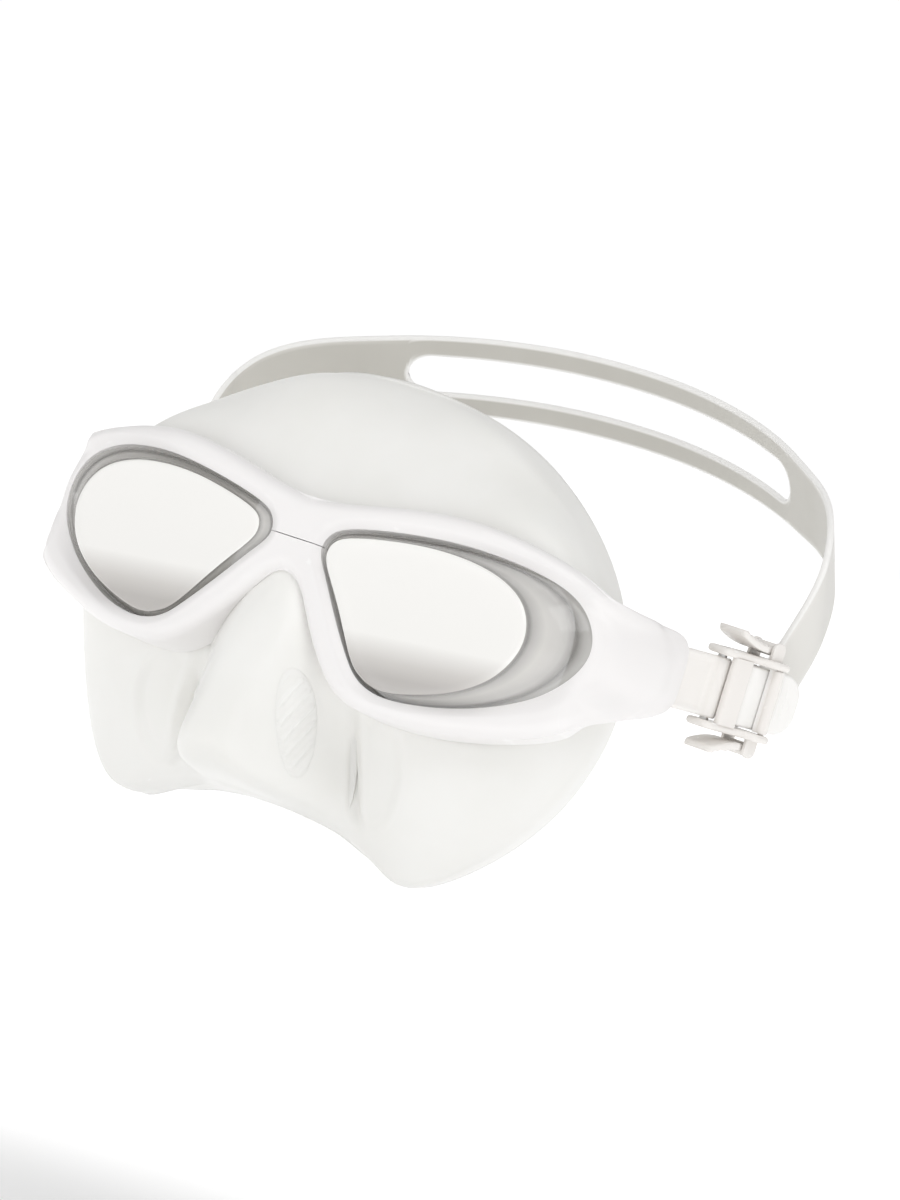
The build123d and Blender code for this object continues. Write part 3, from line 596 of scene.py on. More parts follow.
lens_outside, ring_places = lens_rings(0.0, 0.0)
lens_inside, _ = lens_rings(LENS_WALL, LENS_WALL)
flange = np.array([seat_points(grown(opening, FLANGE_WIDTH), b) for b in (0.0, FLANGE_BACK)])
lens_foot = seat_points(grown(opening, -LENS_WALL), FLANGE_BACK)[None]
lens_grid = np.concatenate([lens_outside, flange, lens_foot, lens_inside[::-1]])
lens_band = np.concatenate([ring_places, (1.0, 1.0, 1.0), ring_places[::-1]])
lens_band = np.repeat(lens_band[:, None], lens_grid.shape[1], 1)
for side, grid in (("left", lens_grid), ("right", mirrored(lens_grid))):
    lens = skin("lens_shell_" + side, [grid], [True], sharp=50, band=[lens_band])
    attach(lens, "mask")
    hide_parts("lens_" + side)
    dress(lens, WINDOW_GLASS, WALL_GLASS)
    reach = np.zeros(len(lens.data.vertices), np.float32)
    lens.data.attributes["band"].data.foreach_get("value", reach)
    on_wall = [int(reach[list(p.vertices)].mean() > 0.508) for p in lens.data.polygons]
    lens.data.polygons.foreach_set("material_index", on_wall)


# ---- bezels: upper and lower frame ----
# Two white mouldings that part at the bridge and at the temples. They clip over the lens
# flanges from the front. A bevel turns in towards each lens and the outer edge is well rounded.
RIM = [(0, 12.4), (8, 13.2), (17, 14.9), (27, 17), (37, 18.6), (47, 19.3), (57, 18.8), (67, 17.3),
       (77, 14.3), (84, 10), (88.5, 3), (89.6, -6), (87.2, -16), (80, -24), (70, -29),
       (58, -32.7), (46.5, -34.9), (36, -35.3), (28.3, -34.2), (21.3, -30), (13.8, -21.9), (8.4, -14.6), (4.2, -9.4), (0, -7.6)]
WRAP = np.array(
    [(-30, 0.9), (0, 0), (30, 0.9), (46, 4), (60, 9.6), (72, 14.2), (82, 17.8), (88, 23), (91.5, 34)]
)
FRAME_BACK = 7.0
EDGE_ROUND = 3.4
BEVEL_WIDTH, BEVEL_DROP = 2.4, 1.5
SEAM_HALF = 0.1
ACROSS = 26


def wrap_depth(across):
    """Depth of the frame's front over its plan curve: cubic pieces with the slopes of a curve
    through each point's neighbours."""
    x, d = WRAP.T
    slope = np.gradient(d, x)
    a = np.clip(across, x[0], x[-1])
    i = np.clip(np.searchsorted(x, a) - 1, 0, len(x) - 2)
    h = x[i + 1] - x[i]
    t = (a - x[i]) / h
    return (
        (2 * t**3 - 3 * t**2 + 1) * d[i]
        + (t**3 - 2 * t**2 + t) * h * slope[i]
        + (3 * t**2 - 2 * t**3) * d[i + 1]
        + (t**3 - t**2) * h * slope[i + 1]
    )


def along_loop(loop, stations, counts):
    """Points of a closed loop between stations, each the loop's place nearest to a given point,
    with a number of even steps for each stretch."""
    closed = np.concatenate([loop, loop[:1]])
    run = np.concatenate([[0], np.cumsum(np.linalg.norm(np.diff(closed, axis=0), axis=1))])
    dense = np.linspace(0, run[-1], 4000)[:-1]
    fine = np.stack([np.interp(dense, run, closed[:, k]) for k in (0, 1)], 1)
    at = np.array([dense[np.argmin(((fine - p) ** 2).sum(1))] for p in np.array(stations, float)])
    at += np.cumsum(np.concatenate([[0], np.where(np.diff(at) < -1e-6, run[-1], 0)]))
    steps = [np.linspace(a, b, n + 1)[:-1] for a, b, n in zip(at[:-1], at[1:], counts)]
    s = np.concatenate(steps + [at[-1:]]) % run[-1]
    return np.stack([np.interp(s, run, closed[:, k]) for k in (0, 1)], 1)


def distance_to(points, loop):
    """Distance of each point from a closed flat loop, measured to its segments."""
    a, b = loop, np.roll(loop, -1, 0)
    run = b - a
    rel = points.reshape(-1, 1, 2) - a
    t = np.clip((rel * run).sum(-1) / np.maximum((run**2).sum(-1), 1e-12), 0, 1)
    return np.sqrt(((rel - t[..., None] * run) ** 2).sum(-1).min(1)).reshape(points.shape[:-1])


def bezel_sections(inner, outer, bevel):
    """Front and back points of the bezel between its opening edge and its outline. Front depth =
    plan curve + a quarter round of the outer edge + a bevel that falls towards the lens."""
    share = (1 - np.cos(np.pi * np.linspace(0, 1, ACROSS))) / 2
    flat = inner[:, None] + (outer - inner)[:, None] * share[:, None]
    from_rim = np.minimum(distance_to(flat, rim_whole), EDGE_ROUND)
    from_lens = distance_to(flat, opening) / bevel[:, None]
    x = flat[..., 0]
    depth = wrap_depth(x) + EDGE_ROUND - np.sqrt(EDGE_ROUND**2 - (EDGE_ROUND - from_rim) ** 2)
    depth += BEVEL_DROP * (np.sqrt(np.maximum(1 - from_lens, 0) ** 2 + 0.02) - 0.14)
    depth = np.minimum(depth, SEAT_DEPTH + SEAT_SLOPE * x - 0.2)
    front = on_front(x, depth, flat[..., 1])
    rear = on_front(x - 1.4 * np.clip(x / 20, 0, 1), SEAT_DEPTH + SEAT_SLOPE * x + FRAME_BACK, flat[..., 1])
    return front, rear


rim_whole = smooth_loop(RIM + [(-x, v) for x, v in RIM[-2:0:-1]])
rim_side = rim_whole[: 14 * (len(RIM) - 1) + 1]
rim_side[0, 0] = rim_side[-1, 0] = 0.0
bridge_line = np.linspace(rim_side[-1], rim_side[0], 40)[1:-1]
rim_half = np.concatenate([rim_side, bridge_line])
SEAM = 1.0
UPPER_SEAM = ((74.0, 8.8), (79.0, 13.5))
LOWER_SEAM = ((78.4, -10.8), (80.6, -23.4))
UPPER_STATIONS = [((8.0, SEAM + SEAM_HALF), (0, SEAM + SEAM_HALF)), ((8.4, 3.2), (0, 7.0)),
                  ((9.6, 5.2), (0, 12.4)), ((14, 7.4), (9, 13.3)), ((47, 12.8), (47, 19.3)), UPPER_SEAM]
LOWER_STATIONS = [LOWER_SEAM, ((46, -29.3), (46.5, -34.9)), ((31, -28.2), (27, -33.6)),
                  ((11.5, -5.5), (4.2, -9.4)), ((8.8, -2), (0, -7.6)),
                  ((8.0, SEAM - SEAM_HALF), (0, SEAM - SEAM_HALF))]


def bezel_piece(name, node, stations, counts):
    """Both mirrored halves of one bezel, closed at its seams and open to each other at the
    middle, where the wall between them is taken away."""
    inner = along_loop(opening, [s[0] for s in stations], counts)
    outer = along_loop(rim_half, [s[1] for s in stations], counts)
    wide = np.clip((inner[:, 0] - 55) / 20, 0, 1)
    front, rear = bezel_sections(inner, outer, BEVEL_WIDTH + 2.2 * wide**2)
    loop = np.concatenate([front, rear[:, ::-1]], 1)
    caps = [np.stack([front[0], rear[0]]), np.stack([front[-1], rear[-1]])]
    grids = [loop, *caps]
    piece = skin(name, grids + [mirrored(g) for g in grids], [True, False, False] * 2, sharp=45)
    shell = bmesh.new()
    shell.from_mesh(piece.data)
    middle = [f for f in shell.faces if all(abs(v.co.x) < 1e-6 for v in f.verts)]
    bmesh.ops.delete(shell, geom=middle, context="FACES")
    bmesh.ops.recalc_face_normals(shell, faces=shell.faces)
    shell.to_mesh(piece.data)
    shell.free()
    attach(piece, "mask")
    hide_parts(node)
    dress(piece, FRAME_WHITE)
    return piece


bezel_piece("bezel_upper", "upper_frame", UPPER_STATIONS, (8, 8, 14, 44, 30))
bezel_piece("bezel_lower", "lower_frame", LOWER_STATIONS, (44, 22, 34, 12, 6))


# ---- inner frame ----
# A flat white ring behind each lens that clamps the skirt between itself and the bezels.
# Moulded in the same plastic and hidden behind the front parts.
EYE_MIDDLE = np.array((42.0, -9.0))


def by_angle(points, flat, wanted):
    """Points of a closed loop, in space, at the directions in which other flat points lie from
    the eye's middle, so that two loops match each other point for point."""
    angle = np.arctan2(flat[:, 1] - EYE_MIDDLE[1], flat[:, 0] - EYE_MIDDLE[0])
    order = np.argsort(angle)
    aim = np.arctan2(wanted[:, 1] - EYE_MIDDLE[1], wanted[:, 0] - EYE_MIDDLE[0])
    columns = [
        np.interp(aim, angle[order], points[order, k], period=2 * np.pi)
        for k in range(points.shape[1])
    ]
    return np.stack(columns, 1)


clamp_outer = np.concatenate([rim_side * (0.965, 0.93) + (0.4, -0.3), bridge_line * (1, 0.8) + (0.6, 0)])
clamp_inner = grown(opening, 1.4)
clamp_rim = by_angle(clamp_outer, clamp_outer, clamp_inner)
clamp_rows = [seat_points(clamp_inner, 4.8), seat_points(clamp_rim, 4.8), seat_points(clamp_rim, 7.4),
              seat_points(clamp_inner, 7.4), seat_points(clamp_inner, 4.8)]
for side, turn in (("left", lambda g: g), ("right", mirrored)):
    clamp = skin("inner_ring_" + side, [turn(np.array(clamp_rows))], [True], sharp=30)
    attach(clamp, "mask")
    dress(clamp, FRAME_WHITE)
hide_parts("inner_frame")


# ---- skirt front ----
# The wall that closes the skirt round each lens, of the same silicone, 2 mm thick. Its inner
# edge grips the lens flange and its outer edge runs into the body of the skirt.
half_turn = AROUND // 2 + 1
row_outside, row_inside = outer_wall[0, :half_turn], inner_wall[0, :half_turn]
closing = np.linspace(0, 1, 30)[1:-1, None]


def closed_half(row):
    """The wearer's left half of a front row, closed along the middle of the mask."""
    line = row[-1:] + (row[:1] - row[-1:]) * closing
    return np.concatenate([row, line + np.array((0.05 * MM, 0, 0))])


def flat_of(points):
    """Across and up the front, in millimetres from the bridge."""
    rel = (points - BRIDGE) / MM
    return np.stack([rel[:, 0], rel @ UP_FRONT], 1)


eye_edge = grown(opening, -0.4)
front_edge = closed_half(row_outside)
rear_edge = closed_half(row_inside)
plate_front = by_angle(front_edge, flat_of(front_edge), eye_edge)
plate_rear = by_angle(rear_edge, flat_of(rear_edge), eye_edge)
near, far = seat_points(eye_edge, 2.2), seat_points(eye_edge, 4.4)
plate_rows = [
    near, (near * 2 + plate_front) / 3, plate_front, plate_rear, (far * 2 + plate_rear) / 3, far, near
]
for side, turn in (("left", lambda g: g), ("right", mirrored)):
    wall = skin("skirt_front_" + side, [turn(np.array(plate_rows))], [True], sharp=50)
    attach(wall, "mask")
    dress(wall, SKIRT_SILICONE)


# ---- nose grips ----
# An oval patch of slanting ribs on each flank of the nose, for the fingers that pinch it. It is
# part of the silicone moulding: a dense piece of the skirt's own surface, raised a little.
GRIP_MIDDLE = np.array((2.6, -43.5))
GRIP_AXIS = np.array((0.30, -0.954))
GRIP_HALF_LENGTH, GRIP_HALF_WIDTH = 15.0, 6.0
RIB_ACROSS, RIB_PITCH = np.array((0.87, -0.49)), 3.3

grip_round = np.linspace(10.6, 13.4, 130) / control.shape[1]
grip_back = np.linspace(0.10, 0.92, 170)
grip_wall = np.einsum(
    "ar,rcx,bc->abx", spline_weights(control.shape[0], grip_back), control,
    spline_weights(control.shape[1], grip_round, closed=True)
)
grip_normal = grid_normals(grip_wall, False)
grip_normal *= np.sign(grip_normal[..., 0].mean())
place = (grip_wall[..., 1:] - BRIDGE[1:]) / MM - GRIP_MIDDLE
lengthways = place @ GRIP_AXIS / GRIP_HALF_LENGTH
sideways = (place[..., 0] * -GRIP_AXIS[1] + place[..., 1] * GRIP_AXIS[0]) / GRIP_HALF_WIDTH
out = np.hypot(lengthways, sideways)
rib = np.maximum(np.cos(2 * np.pi * (place @ RIB_ACROSS) / RIB_PITCH), 0) ** 1.5
height = -0.5 + (1 - eased(out, 0.9, 1.0)) * 0.62 + rib * (1 - eased(out, 0.76, 0.88)) * 0.6
grip_top = grip_wall + grip_normal * (height * MM)[..., None]
grip_root = grip_wall - grip_normal * 1.2 * MM
grip_grids = [grip_top, grip_root] + [
    np.stack([grip_top[rows], grip_root[rows]]) for rows in (0, -1, np.s_[:, 0], np.s_[:, -1])
]
for side, turn in (("left", lambda g: g), ("right", mirrored)):
    grip = skin("nose_grip_" + side, [turn(g) for g in grip_grids])
    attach(grip, "mask")
    dress(grip, SKIRT_SILICONE)


# ---- temples ----
# The cover at each end of the front: it closes the bezel round the lens and carries the tab at
# its rear. The same white moulding, with a raised panel on its outer face.
TEMPLE_STATIONS = [UPPER_SEAM, ((79.2, 3.6), (87.3, 6.0)), ((81.0, -1.5), (89.4, -3.0)),
                   ((80.4, -5.8), (89.0, -11.0)), LOWER_SEAM]
ARM_RAIL = np.array(
    [(80.5, -18, 27.2), (84.5, -9, 24.8), (87.2, 1, 22.4), (88.6, 9.5, 20.6), (89.8, 12, 16.5),
     (90.0, 12, 10.5), (89.8, 12, 4.5), (88.6, 9.5, 0.5), (87.4, 0, -2.8), (85.8, -9, -5.8),
     (83.0, -17, -8.0)]
) * MM
ARM_THICKNESS = 7.0 * MM
PANEL_MIDDLE, PANEL_HALF, PANEL_RISE = np.array((-13.0, 10.5)) * MM, np.array((17.5, 15.0)) * MM, 0.5 * MM


inner = along_loop(opening, [s[0] for s in TEMPLE_STATIONS], (26, 18, 18, 26))
outer = along_loop(rim_half, [s[1] for s in TEMPLE_STATIONS], (26, 18, 18, 26))
round_share = np.linspace(0, 1, len(inner))
cap_front, cap_rear = bezel_sections(inner, outer, np.full(len(inner), BEVEL_WIDTH + 2.2))
rail_points = np.concatenate([cap_front[:1, -1], ARM_RAIL, cap_front[-1:, -1]])
rail_weights = spline_weights(len(rail_points), round_share)
arm_rail = rail_weights @ through(rail_points, False)
rail_inside = arm_rail - np.array((ARM_THICKNESS, 0.0, 0.0))
crest = cap_front[:, ACROSS // 2 - 3]
swell = crest + (arm_rail - crest) * 0.5 + np.array((2.6, -0.6, 0.0)) * MM
shoulder = arm_rail + (crest - arm_rail) * 0.10 + np.array((0.9, 0.0, 0.0)) * MM
arm_control = np.stack([cap_front[:, 0], cap_front[:, 5], crest, swell, shoulder, arm_rail])
reach_weights = spline_weights(len(arm_control), np.linspace(0, 1, ACROSS))
arm_front = np.einsum("ar,rcx->cax", reach_weights, arm_control)
inside_share = np.linspace(0, 1, ACROSS)[:, None]
arm_rear = cap_rear[:, :1] + (rail_inside - cap_rear[:, 0])[:, None] * inside_share
merge = (eased(round_share, 0.0, 0.26) * eased(1 - round_share, 0.0, 0.26))[:, None, None]
temple_front = cap_front + (arm_front - cap_front) * merge
temple_rear = cap_rear + (arm_rear - cap_rear) * merge
face = (temple_front[..., 1:] - PANEL_MIDDLE) / PANEL_HALF
panel = eased(np.linalg.norm(face, axis=-1), 1.02, 0.94)[..., None]
face_normal = grid_normals(temple_front, False)
face_normal *= np.sign(face_normal[..., :1].mean())
temple_front = temple_front + face_normal * panel * PANEL_RISE * merge * eased(inside_share, 0.3, 0.4)
temple_loop = np.concatenate([temple_front, temple_rear[:, ::-1]], 1)
temple_grids = [
    temple_loop,
    np.stack([temple_front[0], temple_rear[0]]),
    np.stack([temple_front[-1], temple_rear[-1]]),
]
for side, turn in (("left", lambda g: g), ("right", mirrored)):
    temple = skin("temple_cover_" + side, [turn(g) for g in temple_grids], [True, False, False], sharp=45)
    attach(temple, "mask")
    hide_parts("temple_" + side)
    dress(temple, FRAME_WHITE)


# ---- tabs ----
# A flexible strip of milky plastic on each side, from inside the temple to the buckle's
# hinge. Moulded in one piece, with a raised border, and pinned inside the temple.
HINGE = np.array((91.1, 27.3, 10.5)) * MM
ALONG_STRAP = np.array((np.cos(np.radians(74.0)), np.sin(np.radians(74.0)), 0.0))
INWARD = np.array((-np.sin(np.radians(74.0)), np.cos(np.radians(74.0)), 0.0))
UPWARD = np.array((0.0, 0.0, 1.0))
HALF_STRAP = 8.0 * MM


def on_buckle(back, towards_head, up):
    """Points given in the buckle's frame, from the hinge: back, towards the head and up."""
    back, towards_head, up = np.broadcast_arrays(back, towards_head, up)
    return HINGE + back[..., None] * ALONG_STRAP + towards_head[..., None] * INWARD + up[..., None] * UPWARD


def rounded_ring(half_a, half_b, corner, per_corner=8, per_side=10):
    """Closed rounded rectangle as points (a, b), corner arcs and sides evenly divided."""
    turns = np.linspace(0, np.pi / 2, per_corner)
    ring = []
    for k, (sa, sb) in enumerate(((1, 1), (-1, 1), (-1, -1), (1, -1))):
        angle = turns + k * np.pi / 2
        ring.append(
            np.stack([sa * (half_a - corner) + corner * np.cos(angle),
                      sb * (half_b - corner) + corner * np.sin(angle)], 1)
        )
    parts = []
    for k in range(4):
        a, b = ring[k], ring[(k + 1) % 4][:1]
        share = np.linspace(0, 1, per_side + 2)[1:-1, None]
        parts += [a, a[-1:] + (b - a[-1:]) * share]
    return np.concatenate(parts)


TAB_HALF = 1.5 * MM
tab_back = np.concatenate([np.linspace(-31.0, -30.0, 6), np.linspace(-29.5, 3.0, 90)]) * MM
knuckle = np.sqrt(np.maximum((2.65 * MM) ** 2 - np.minimum(np.abs(tab_back), 2.6 * MM) ** 2, 0))
tab_half = np.maximum(knuckle, np.where(tab_back > 1.2 * MM, 0.0, TAB_HALF))
tab_half *= np.sqrt(np.clip((tab_back + 31.05 * MM) / (1.0 * MM), 0.05, 1))
tab_rows = []
for place, half in zip(tab_back, tab_half):
    half = max(half, 0.25 * MM)
    ring = rounded_ring(half, HALF_STRAP - 0.05 * MM, min(0.8 * MM, half * 0.9), 7, 24)
    field = eased(HALF_STRAP - np.abs(ring[:, 1]), 1.4 * MM, 2.2 * MM)
    field = field * eased(place, -17.0 * MM, -16.2 * MM) * (1 - eased(place, -4.6 * MM, -3.8 * MM))
    thin = ring[:, 0] - np.sign(ring[:, 0]) * field * 0.35 * MM
    tab_rows.append(on_buckle(place, thin, ring[:, 1]))
tab_grid = np.array(tab_rows)
tab_caps = [
    np.stack([end, np.repeat(end.mean(0)[None], len(end), 0)]) for end in (tab_grid[0], tab_grid[-1])
]
for side, turn in (("left", lambda g: g), ("right", mirrored)):
    tab = skin("tab_strip_" + side, [turn(g) for g in [tab_grid, *tab_caps]], [True] * 3, sharp=40)
    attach(tab, "mask")
    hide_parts("tab_" + side)
    dress(tab, TAB_MILKY)


# ---- buckle bodies ----
# One white acetal moulding for each side: two side walls with a knuckle that hooks round the
# hinge pin, a broad front bar that the strap passes behind, and a cross bar at the rear. Four
# ears carry the squeeze pads.
WALL_NEAR, WALL_FAR = 8.6 * MM, 10.6 * MM
WALL_OUTLINE = [(-3.4, 3.4, 2.5), (-3.4, -5.0, 2.5), (9.0, -5.0, 3.0), (12.0, -8.2, 2.0),
                (18.0, -8.2, 2.0), (18.0, 6.4, 3.0), (8.0, 6.4, 4.0)]


def plate(loop, low, high, edge, place):
    """Closed plate over a flat loop between two heights, its edges rounded by a quarter circle.
    The loop shrinks towards its own middle to close each face."""
    turns = np.linspace(0, np.pi / 2, 5)
    rise = np.concatenate([low + edge * (1 - np.cos(turns)), high - edge * (1 - np.cos(turns[::-1]))])
    inset = np.concatenate([edge * (1 - np.sin(turns)), edge * (1 - np.sin(turns[::-1]))])
    rings = [
        np.column_stack([grown(loop, -i * loop_sign(loop)), np.full(len(loop), r)])
        for i, r in zip(inset, rise)
    ]
    middle = loop.mean(0)
    first = np.column_stack([np.repeat(middle[None], len(loop), 0), np.full(len(loop), low)])
    last = first + np.array((0.0, 0.0, high - low))
    half_first = (rings[0] + first) / 2
    half_last = (rings[-1] + last) / 2
    grid = np.array([first, half_first, *rings, half_last, last])
    return place(grid[..., 0], grid[..., 1], grid[..., 2])


def loop_sign(loop):
    """1 for a loop that turns clockwise, -1 for the other way, so that grown() widens both."""
    x, y = loop.T
    return -np.sign((x * np.roll(y, -1) - y * np.roll(x, -1)).sum())


def bar(back, inward_place, half_back, half_in, half_length, corner, crown=0.0):
    """Closed bar along the buckle's height, its section a rounded rectangle that swells by
    crown in its middle, with ends hidden in the side walls."""
    heights = np.linspace(-half_length, half_length, 21)
    ring = rounded_ring(half_back, half_in, corner, 8, 6)
    rows = []
    for up in heights:
        swell = 1 + crown * (1 - (up / half_length) ** 2)
        rows.append(on_buckle(back + ring[:, 0], inward_place + ring[:, 1] * swell, up))
    rows = np.array(rows)
    ends = [np.repeat(r.mean(0)[None, None], rows.shape[1], 1) for r in (rows[0], rows[-1])]
    return np.concatenate([ends[0], rows, ends[1]])


wall_loop = corner_loop(WALL_OUTLINE, 12, 6) * MM
buckle_grids = [
    plate(wall_loop, WALL_NEAR, WALL_FAR, 0.85 * MM, on_buckle),
    plate(wall_loop, -WALL_FAR, -WALL_NEAR, 0.85 * MM, on_buckle),
    bar(3.6 * MM, -4.1 * MM, 3.4 * MM, 1.1 * MM, 8.8 * MM, 0.9 * MM, 0.12),
    bar(13.0 * MM, 5.65 * MM, 2.5 * MM, 0.75 * MM, 8.8 * MM, 0.6 * MM),
]
EAR_LOOP = [(-2.1, -0.2, 0.3), (-2.1, 4.7, 2.0), (2.1, 4.7, 2.0), (2.1, -0.2, 0.3)]
ear_loop = corner_loop(EAR_LOOP, 8, 4) * MM
for side_up in (-1, 1):
    for low in (-5.7 * MM, 2.5 * MM):

        def on_ear(along_ear, up_ear, inward_ear):
            """Points of an ear: along the buckle, up from its side wall, and inwards."""
            return on_buckle(14.0 * MM + along_ear, inward_ear, side_up * (WALL_FAR + up_ear))

        buckle_grids.append(plate(ear_loop, low, low + 1.2 * MM, 0.3 * MM, on_ear))
for side, turn in (("left", lambda g: g), ("right", mirrored)):
    turned = [turn(g) for g in buckle_grids]
    body = skin("buckle_frame_" + side, turned, [True] * len(buckle_grids), sharp=40)
    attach(body, "buckle_" + side)
    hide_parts("buckle_body_" + side)
    dress(body, BUCKLE_WHITE)


# ---- squeeze pads ----
# A curved pad above and below each buckle that frees the strap when it is pressed. White, with
# cross ribs for the fingers, and a barrel at its rear end round the ears' pin.
PAD_BACK, PAD_LENGTH, PAD_HALF_WIDTH = 14.0 * MM, 15.0 * MM, 3.2 * MM
PAD_TILT, PAD_RISE, PAD_MIDDLE = np.radians(9.0), 2.6 * MM, -1.0 * MM
PAD_THICK, PAD_SAG = 1.8 * MM, 1.2 * MM

pad_share = np.linspace(0, 1, 120)
pad_rows = []
for f in pad_share:
    run = PAD_LENGTH * (f * 0.995)
    half = PAD_HALF_WIDTH + 1.9 * MM * eased(run, 2.6 * MM, 5.0 * MM)
    half -= 1.4 * MM * (1 - np.sqrt(max(1 - max(1 - (PAD_LENGTH - run) / (1.6 * MM), 0) ** 2, 0)))
    thick = PAD_THICK / 2 * np.sqrt(max(1 - max(1 - (PAD_LENGTH - run) / (0.7 * MM), 0) ** 2, 0.004))
    ring = rounded_ring(thick, half, min(0.5 * MM, thick * 0.9), 5, 10)
    sag = -PAD_SAG * 4 * f * (1 - f)
    rib = 0.45 * MM * max(np.cos(2 * np.pi * run / (1.9 * MM)), 0) ** 0.6 * (0.30 < f < 0.93)
    lift = np.where(ring[:, 0] > 0, rib * eased(half - np.abs(ring[:, 1]), 0.1 * MM, 0.6 * MM), 0)
    pad_rows.append(np.column_stack([np.full(len(ring), run), ring[:, 0] + sag + lift, ring[:, 1]]))
pad_grid = np.array(pad_rows)
barrel_turns = np.linspace(0, 2 * np.pi, 41)[:-1]
half_barrel = np.array([(0.0, 3.2), (1.2, 3.2), (1.6, 3.1), (1.7, 2.8)]) * MM
barrel_profile = np.concatenate([half_barrel * (1, -1), half_barrel[::-1]])
barrel_grid = np.stack(
    [
        np.outer(barrel_profile[:, 0], np.cos(barrel_turns)),
        np.outer(barrel_profile[:, 0], np.sin(barrel_turns)),
        np.repeat(barrel_profile[:, 1:], len(barrel_turns), 1),
    ],
    -1,
)
pad_ends = [np.stack([e, np.repeat(e.mean(0)[None], len(e), 0)]) for e in (pad_grid[0], pad_grid[-1])]


def on_pad(grid, side_up):
    """Pad points (run, rise, across) on the buckle: the pad leans off the side wall by its tilt."""
    run, rise, across = grid[..., 0], grid[..., 1], grid[..., 2]
    back = PAD_BACK - run * np.cos(PAD_TILT) - rise * np.sin(PAD_TILT)
    up = WALL_FAR + PAD_RISE + rise * np.cos(PAD_TILT) + run * np.sin(PAD_TILT)
    return on_buckle(back, PAD_MIDDLE + across, side_up * up)


for level_name, side_up in (("upper", 1), ("lower", -1)):
    for side, turn in (("left", lambda g: g), ("right", mirrored)):
        grids = [turn(on_pad(g, side_up)) for g in (pad_grid, *pad_ends, barrel_grid)]
        pad = skin("squeeze_pad_" + level_name + "_" + side, grids, [True] * 4, sharp=40)
        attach(pad, "button_" + level_name + "_" + side)
        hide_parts("button_" + level_name + "_" + side)
        dress(pad, BUCKLE_WHITE)


# ---- strap ----
# One silicone band round the head, moulded flat edged and 1.8 mm thick, that parts into two
# bands at the back. Each end goes in behind its roller, turns round it and comes back out.
# Each half is one mid surface with a thickness; it is cut where it crosses the joints.
# The strap's two tints are painted shade, darkest in the middle of its face towards the head; rim is the
# silicone's own pale colour and edge is its painted edge highlight.
STRAP_SILICONE = moulded("strap_white_silicone", (0.60, 0.585, 0.54), (0.575, 0.56, 0.515),
                         (0.90, 0.89, 0.865), 0.40, 1500.0, 0.00004, 0.1, rim=(0.92, 0.91, 0.89))
INCLINE = np.radians(36.0)
HALF_THICK = 0.9 * MM
LAYER = 3.45 * MM                            # roller's middle to the middle of the strap
ROLLER_BACK, TAIL_BACK, LINK_BACK = 10.2 * MM, 28.0 * MM, 18.0 * MM
LOOP_OUTLINE = [(91.8, 20, 0), (91.8, 38, 14), (101, 72, 42), (84, 99, 60), (36, 133.5, 108), (0, 133.5, 0)]
LOWER_EDGE = np.array([(38.3, -24.75), (47.0, -29.6), (56.0, -25.0), (70.1, -17.0), (86.0, -11.2),
                       (100.0, -11.2), (113.0, -14.2), (124.0, -16.6), (133.5, -18.2)])
UPPER_EDGE = np.array([(47.7, -11.8), (53.0, -10.4), (62.0, -3.6), (78.0, 6.2), (91.0, 9.9),
                       (103.0, 9.8), (113.5, 9.2), (124.0, 8.2), (133.5, 7.3)])
EDGE_STEPS = 300
SLIT_HALF_LENGTH, SLIT_HALF_HEIGHT = 62.0 * MM, 5.75 * MM


def open_curve(corners, per_corner=40):
    """Polyline with an arc at each inner corner (x, y, radius), as points in order."""
    table = np.array(corners, float)
    pieces = [table[:1, :2]]
    for a, b, c, r in zip(table[:-2, :2], table[1:-1, :2], table[2:, :2], table[1:-1, 2]):
        u, w = (b - a) / np.linalg.norm(b - a), (c - b) / np.linalg.norm(c - b)
        turn = np.arctan2(u[0] * w[1] - u[1] * w[0], u @ w)
        start = b - u * r * np.tan(abs(turn) / 2)
        side = np.array((-u[1], u[0])) * np.sign(turn)
        angle = np.linspace(0, turn, per_corner)[:, None]
        spoke = -side * r
        turned = np.array((-spoke[1], spoke[0]))
        pieces.append(start + side * r + spoke * np.cos(angle) + turned * np.sin(angle))
    pieces.append(table[-1:, :2])
    return np.concatenate(pieces)


def even(points, count):
    """The same polyline with evenly spaced points."""
    run = np.concatenate([[0], np.cumsum(np.linalg.norm(np.diff(points, axis=0), axis=1))])
    s = np.linspace(0, run[-1], count)
    return np.stack([np.interp(s, run, points[:, k]) for k in range(points.shape[1])], 1)


outline = even(open_curve(LOOP_OUTLINE), 1200)
outline_run = np.concatenate([[0], np.cumsum(np.linalg.norm(np.diff(outline, axis=0), axis=1))])
stretch = np.gradient(outline, axis=0)
stretch /= np.linalg.norm(stretch, axis=1, keepdims=True)
outline = (outline + np.stack([-stretch[:, 1], stretch[:, 0]], 1) * 0.9) * MM
outline_run = outline_run * MM

station = np.linspace(0, 1, EDGE_STEPS)
edge_weights = spline_weights(len(LOWER_EDGE), station)
lower_edge = edge_weights @ through(LOWER_EDGE, False) * MM
upper_edge = edge_weights @ through(UPPER_EDGE, False) * MM
far_t = outline[:, 1].max()


def run_at(t):
    """Length along the loop's plan curve where it reaches t."""
    rising = np.maximum.accumulate(outline[:, 1])
    return np.interp(np.minimum(t, far_t - 0.6 * MM), rising, outline_run)


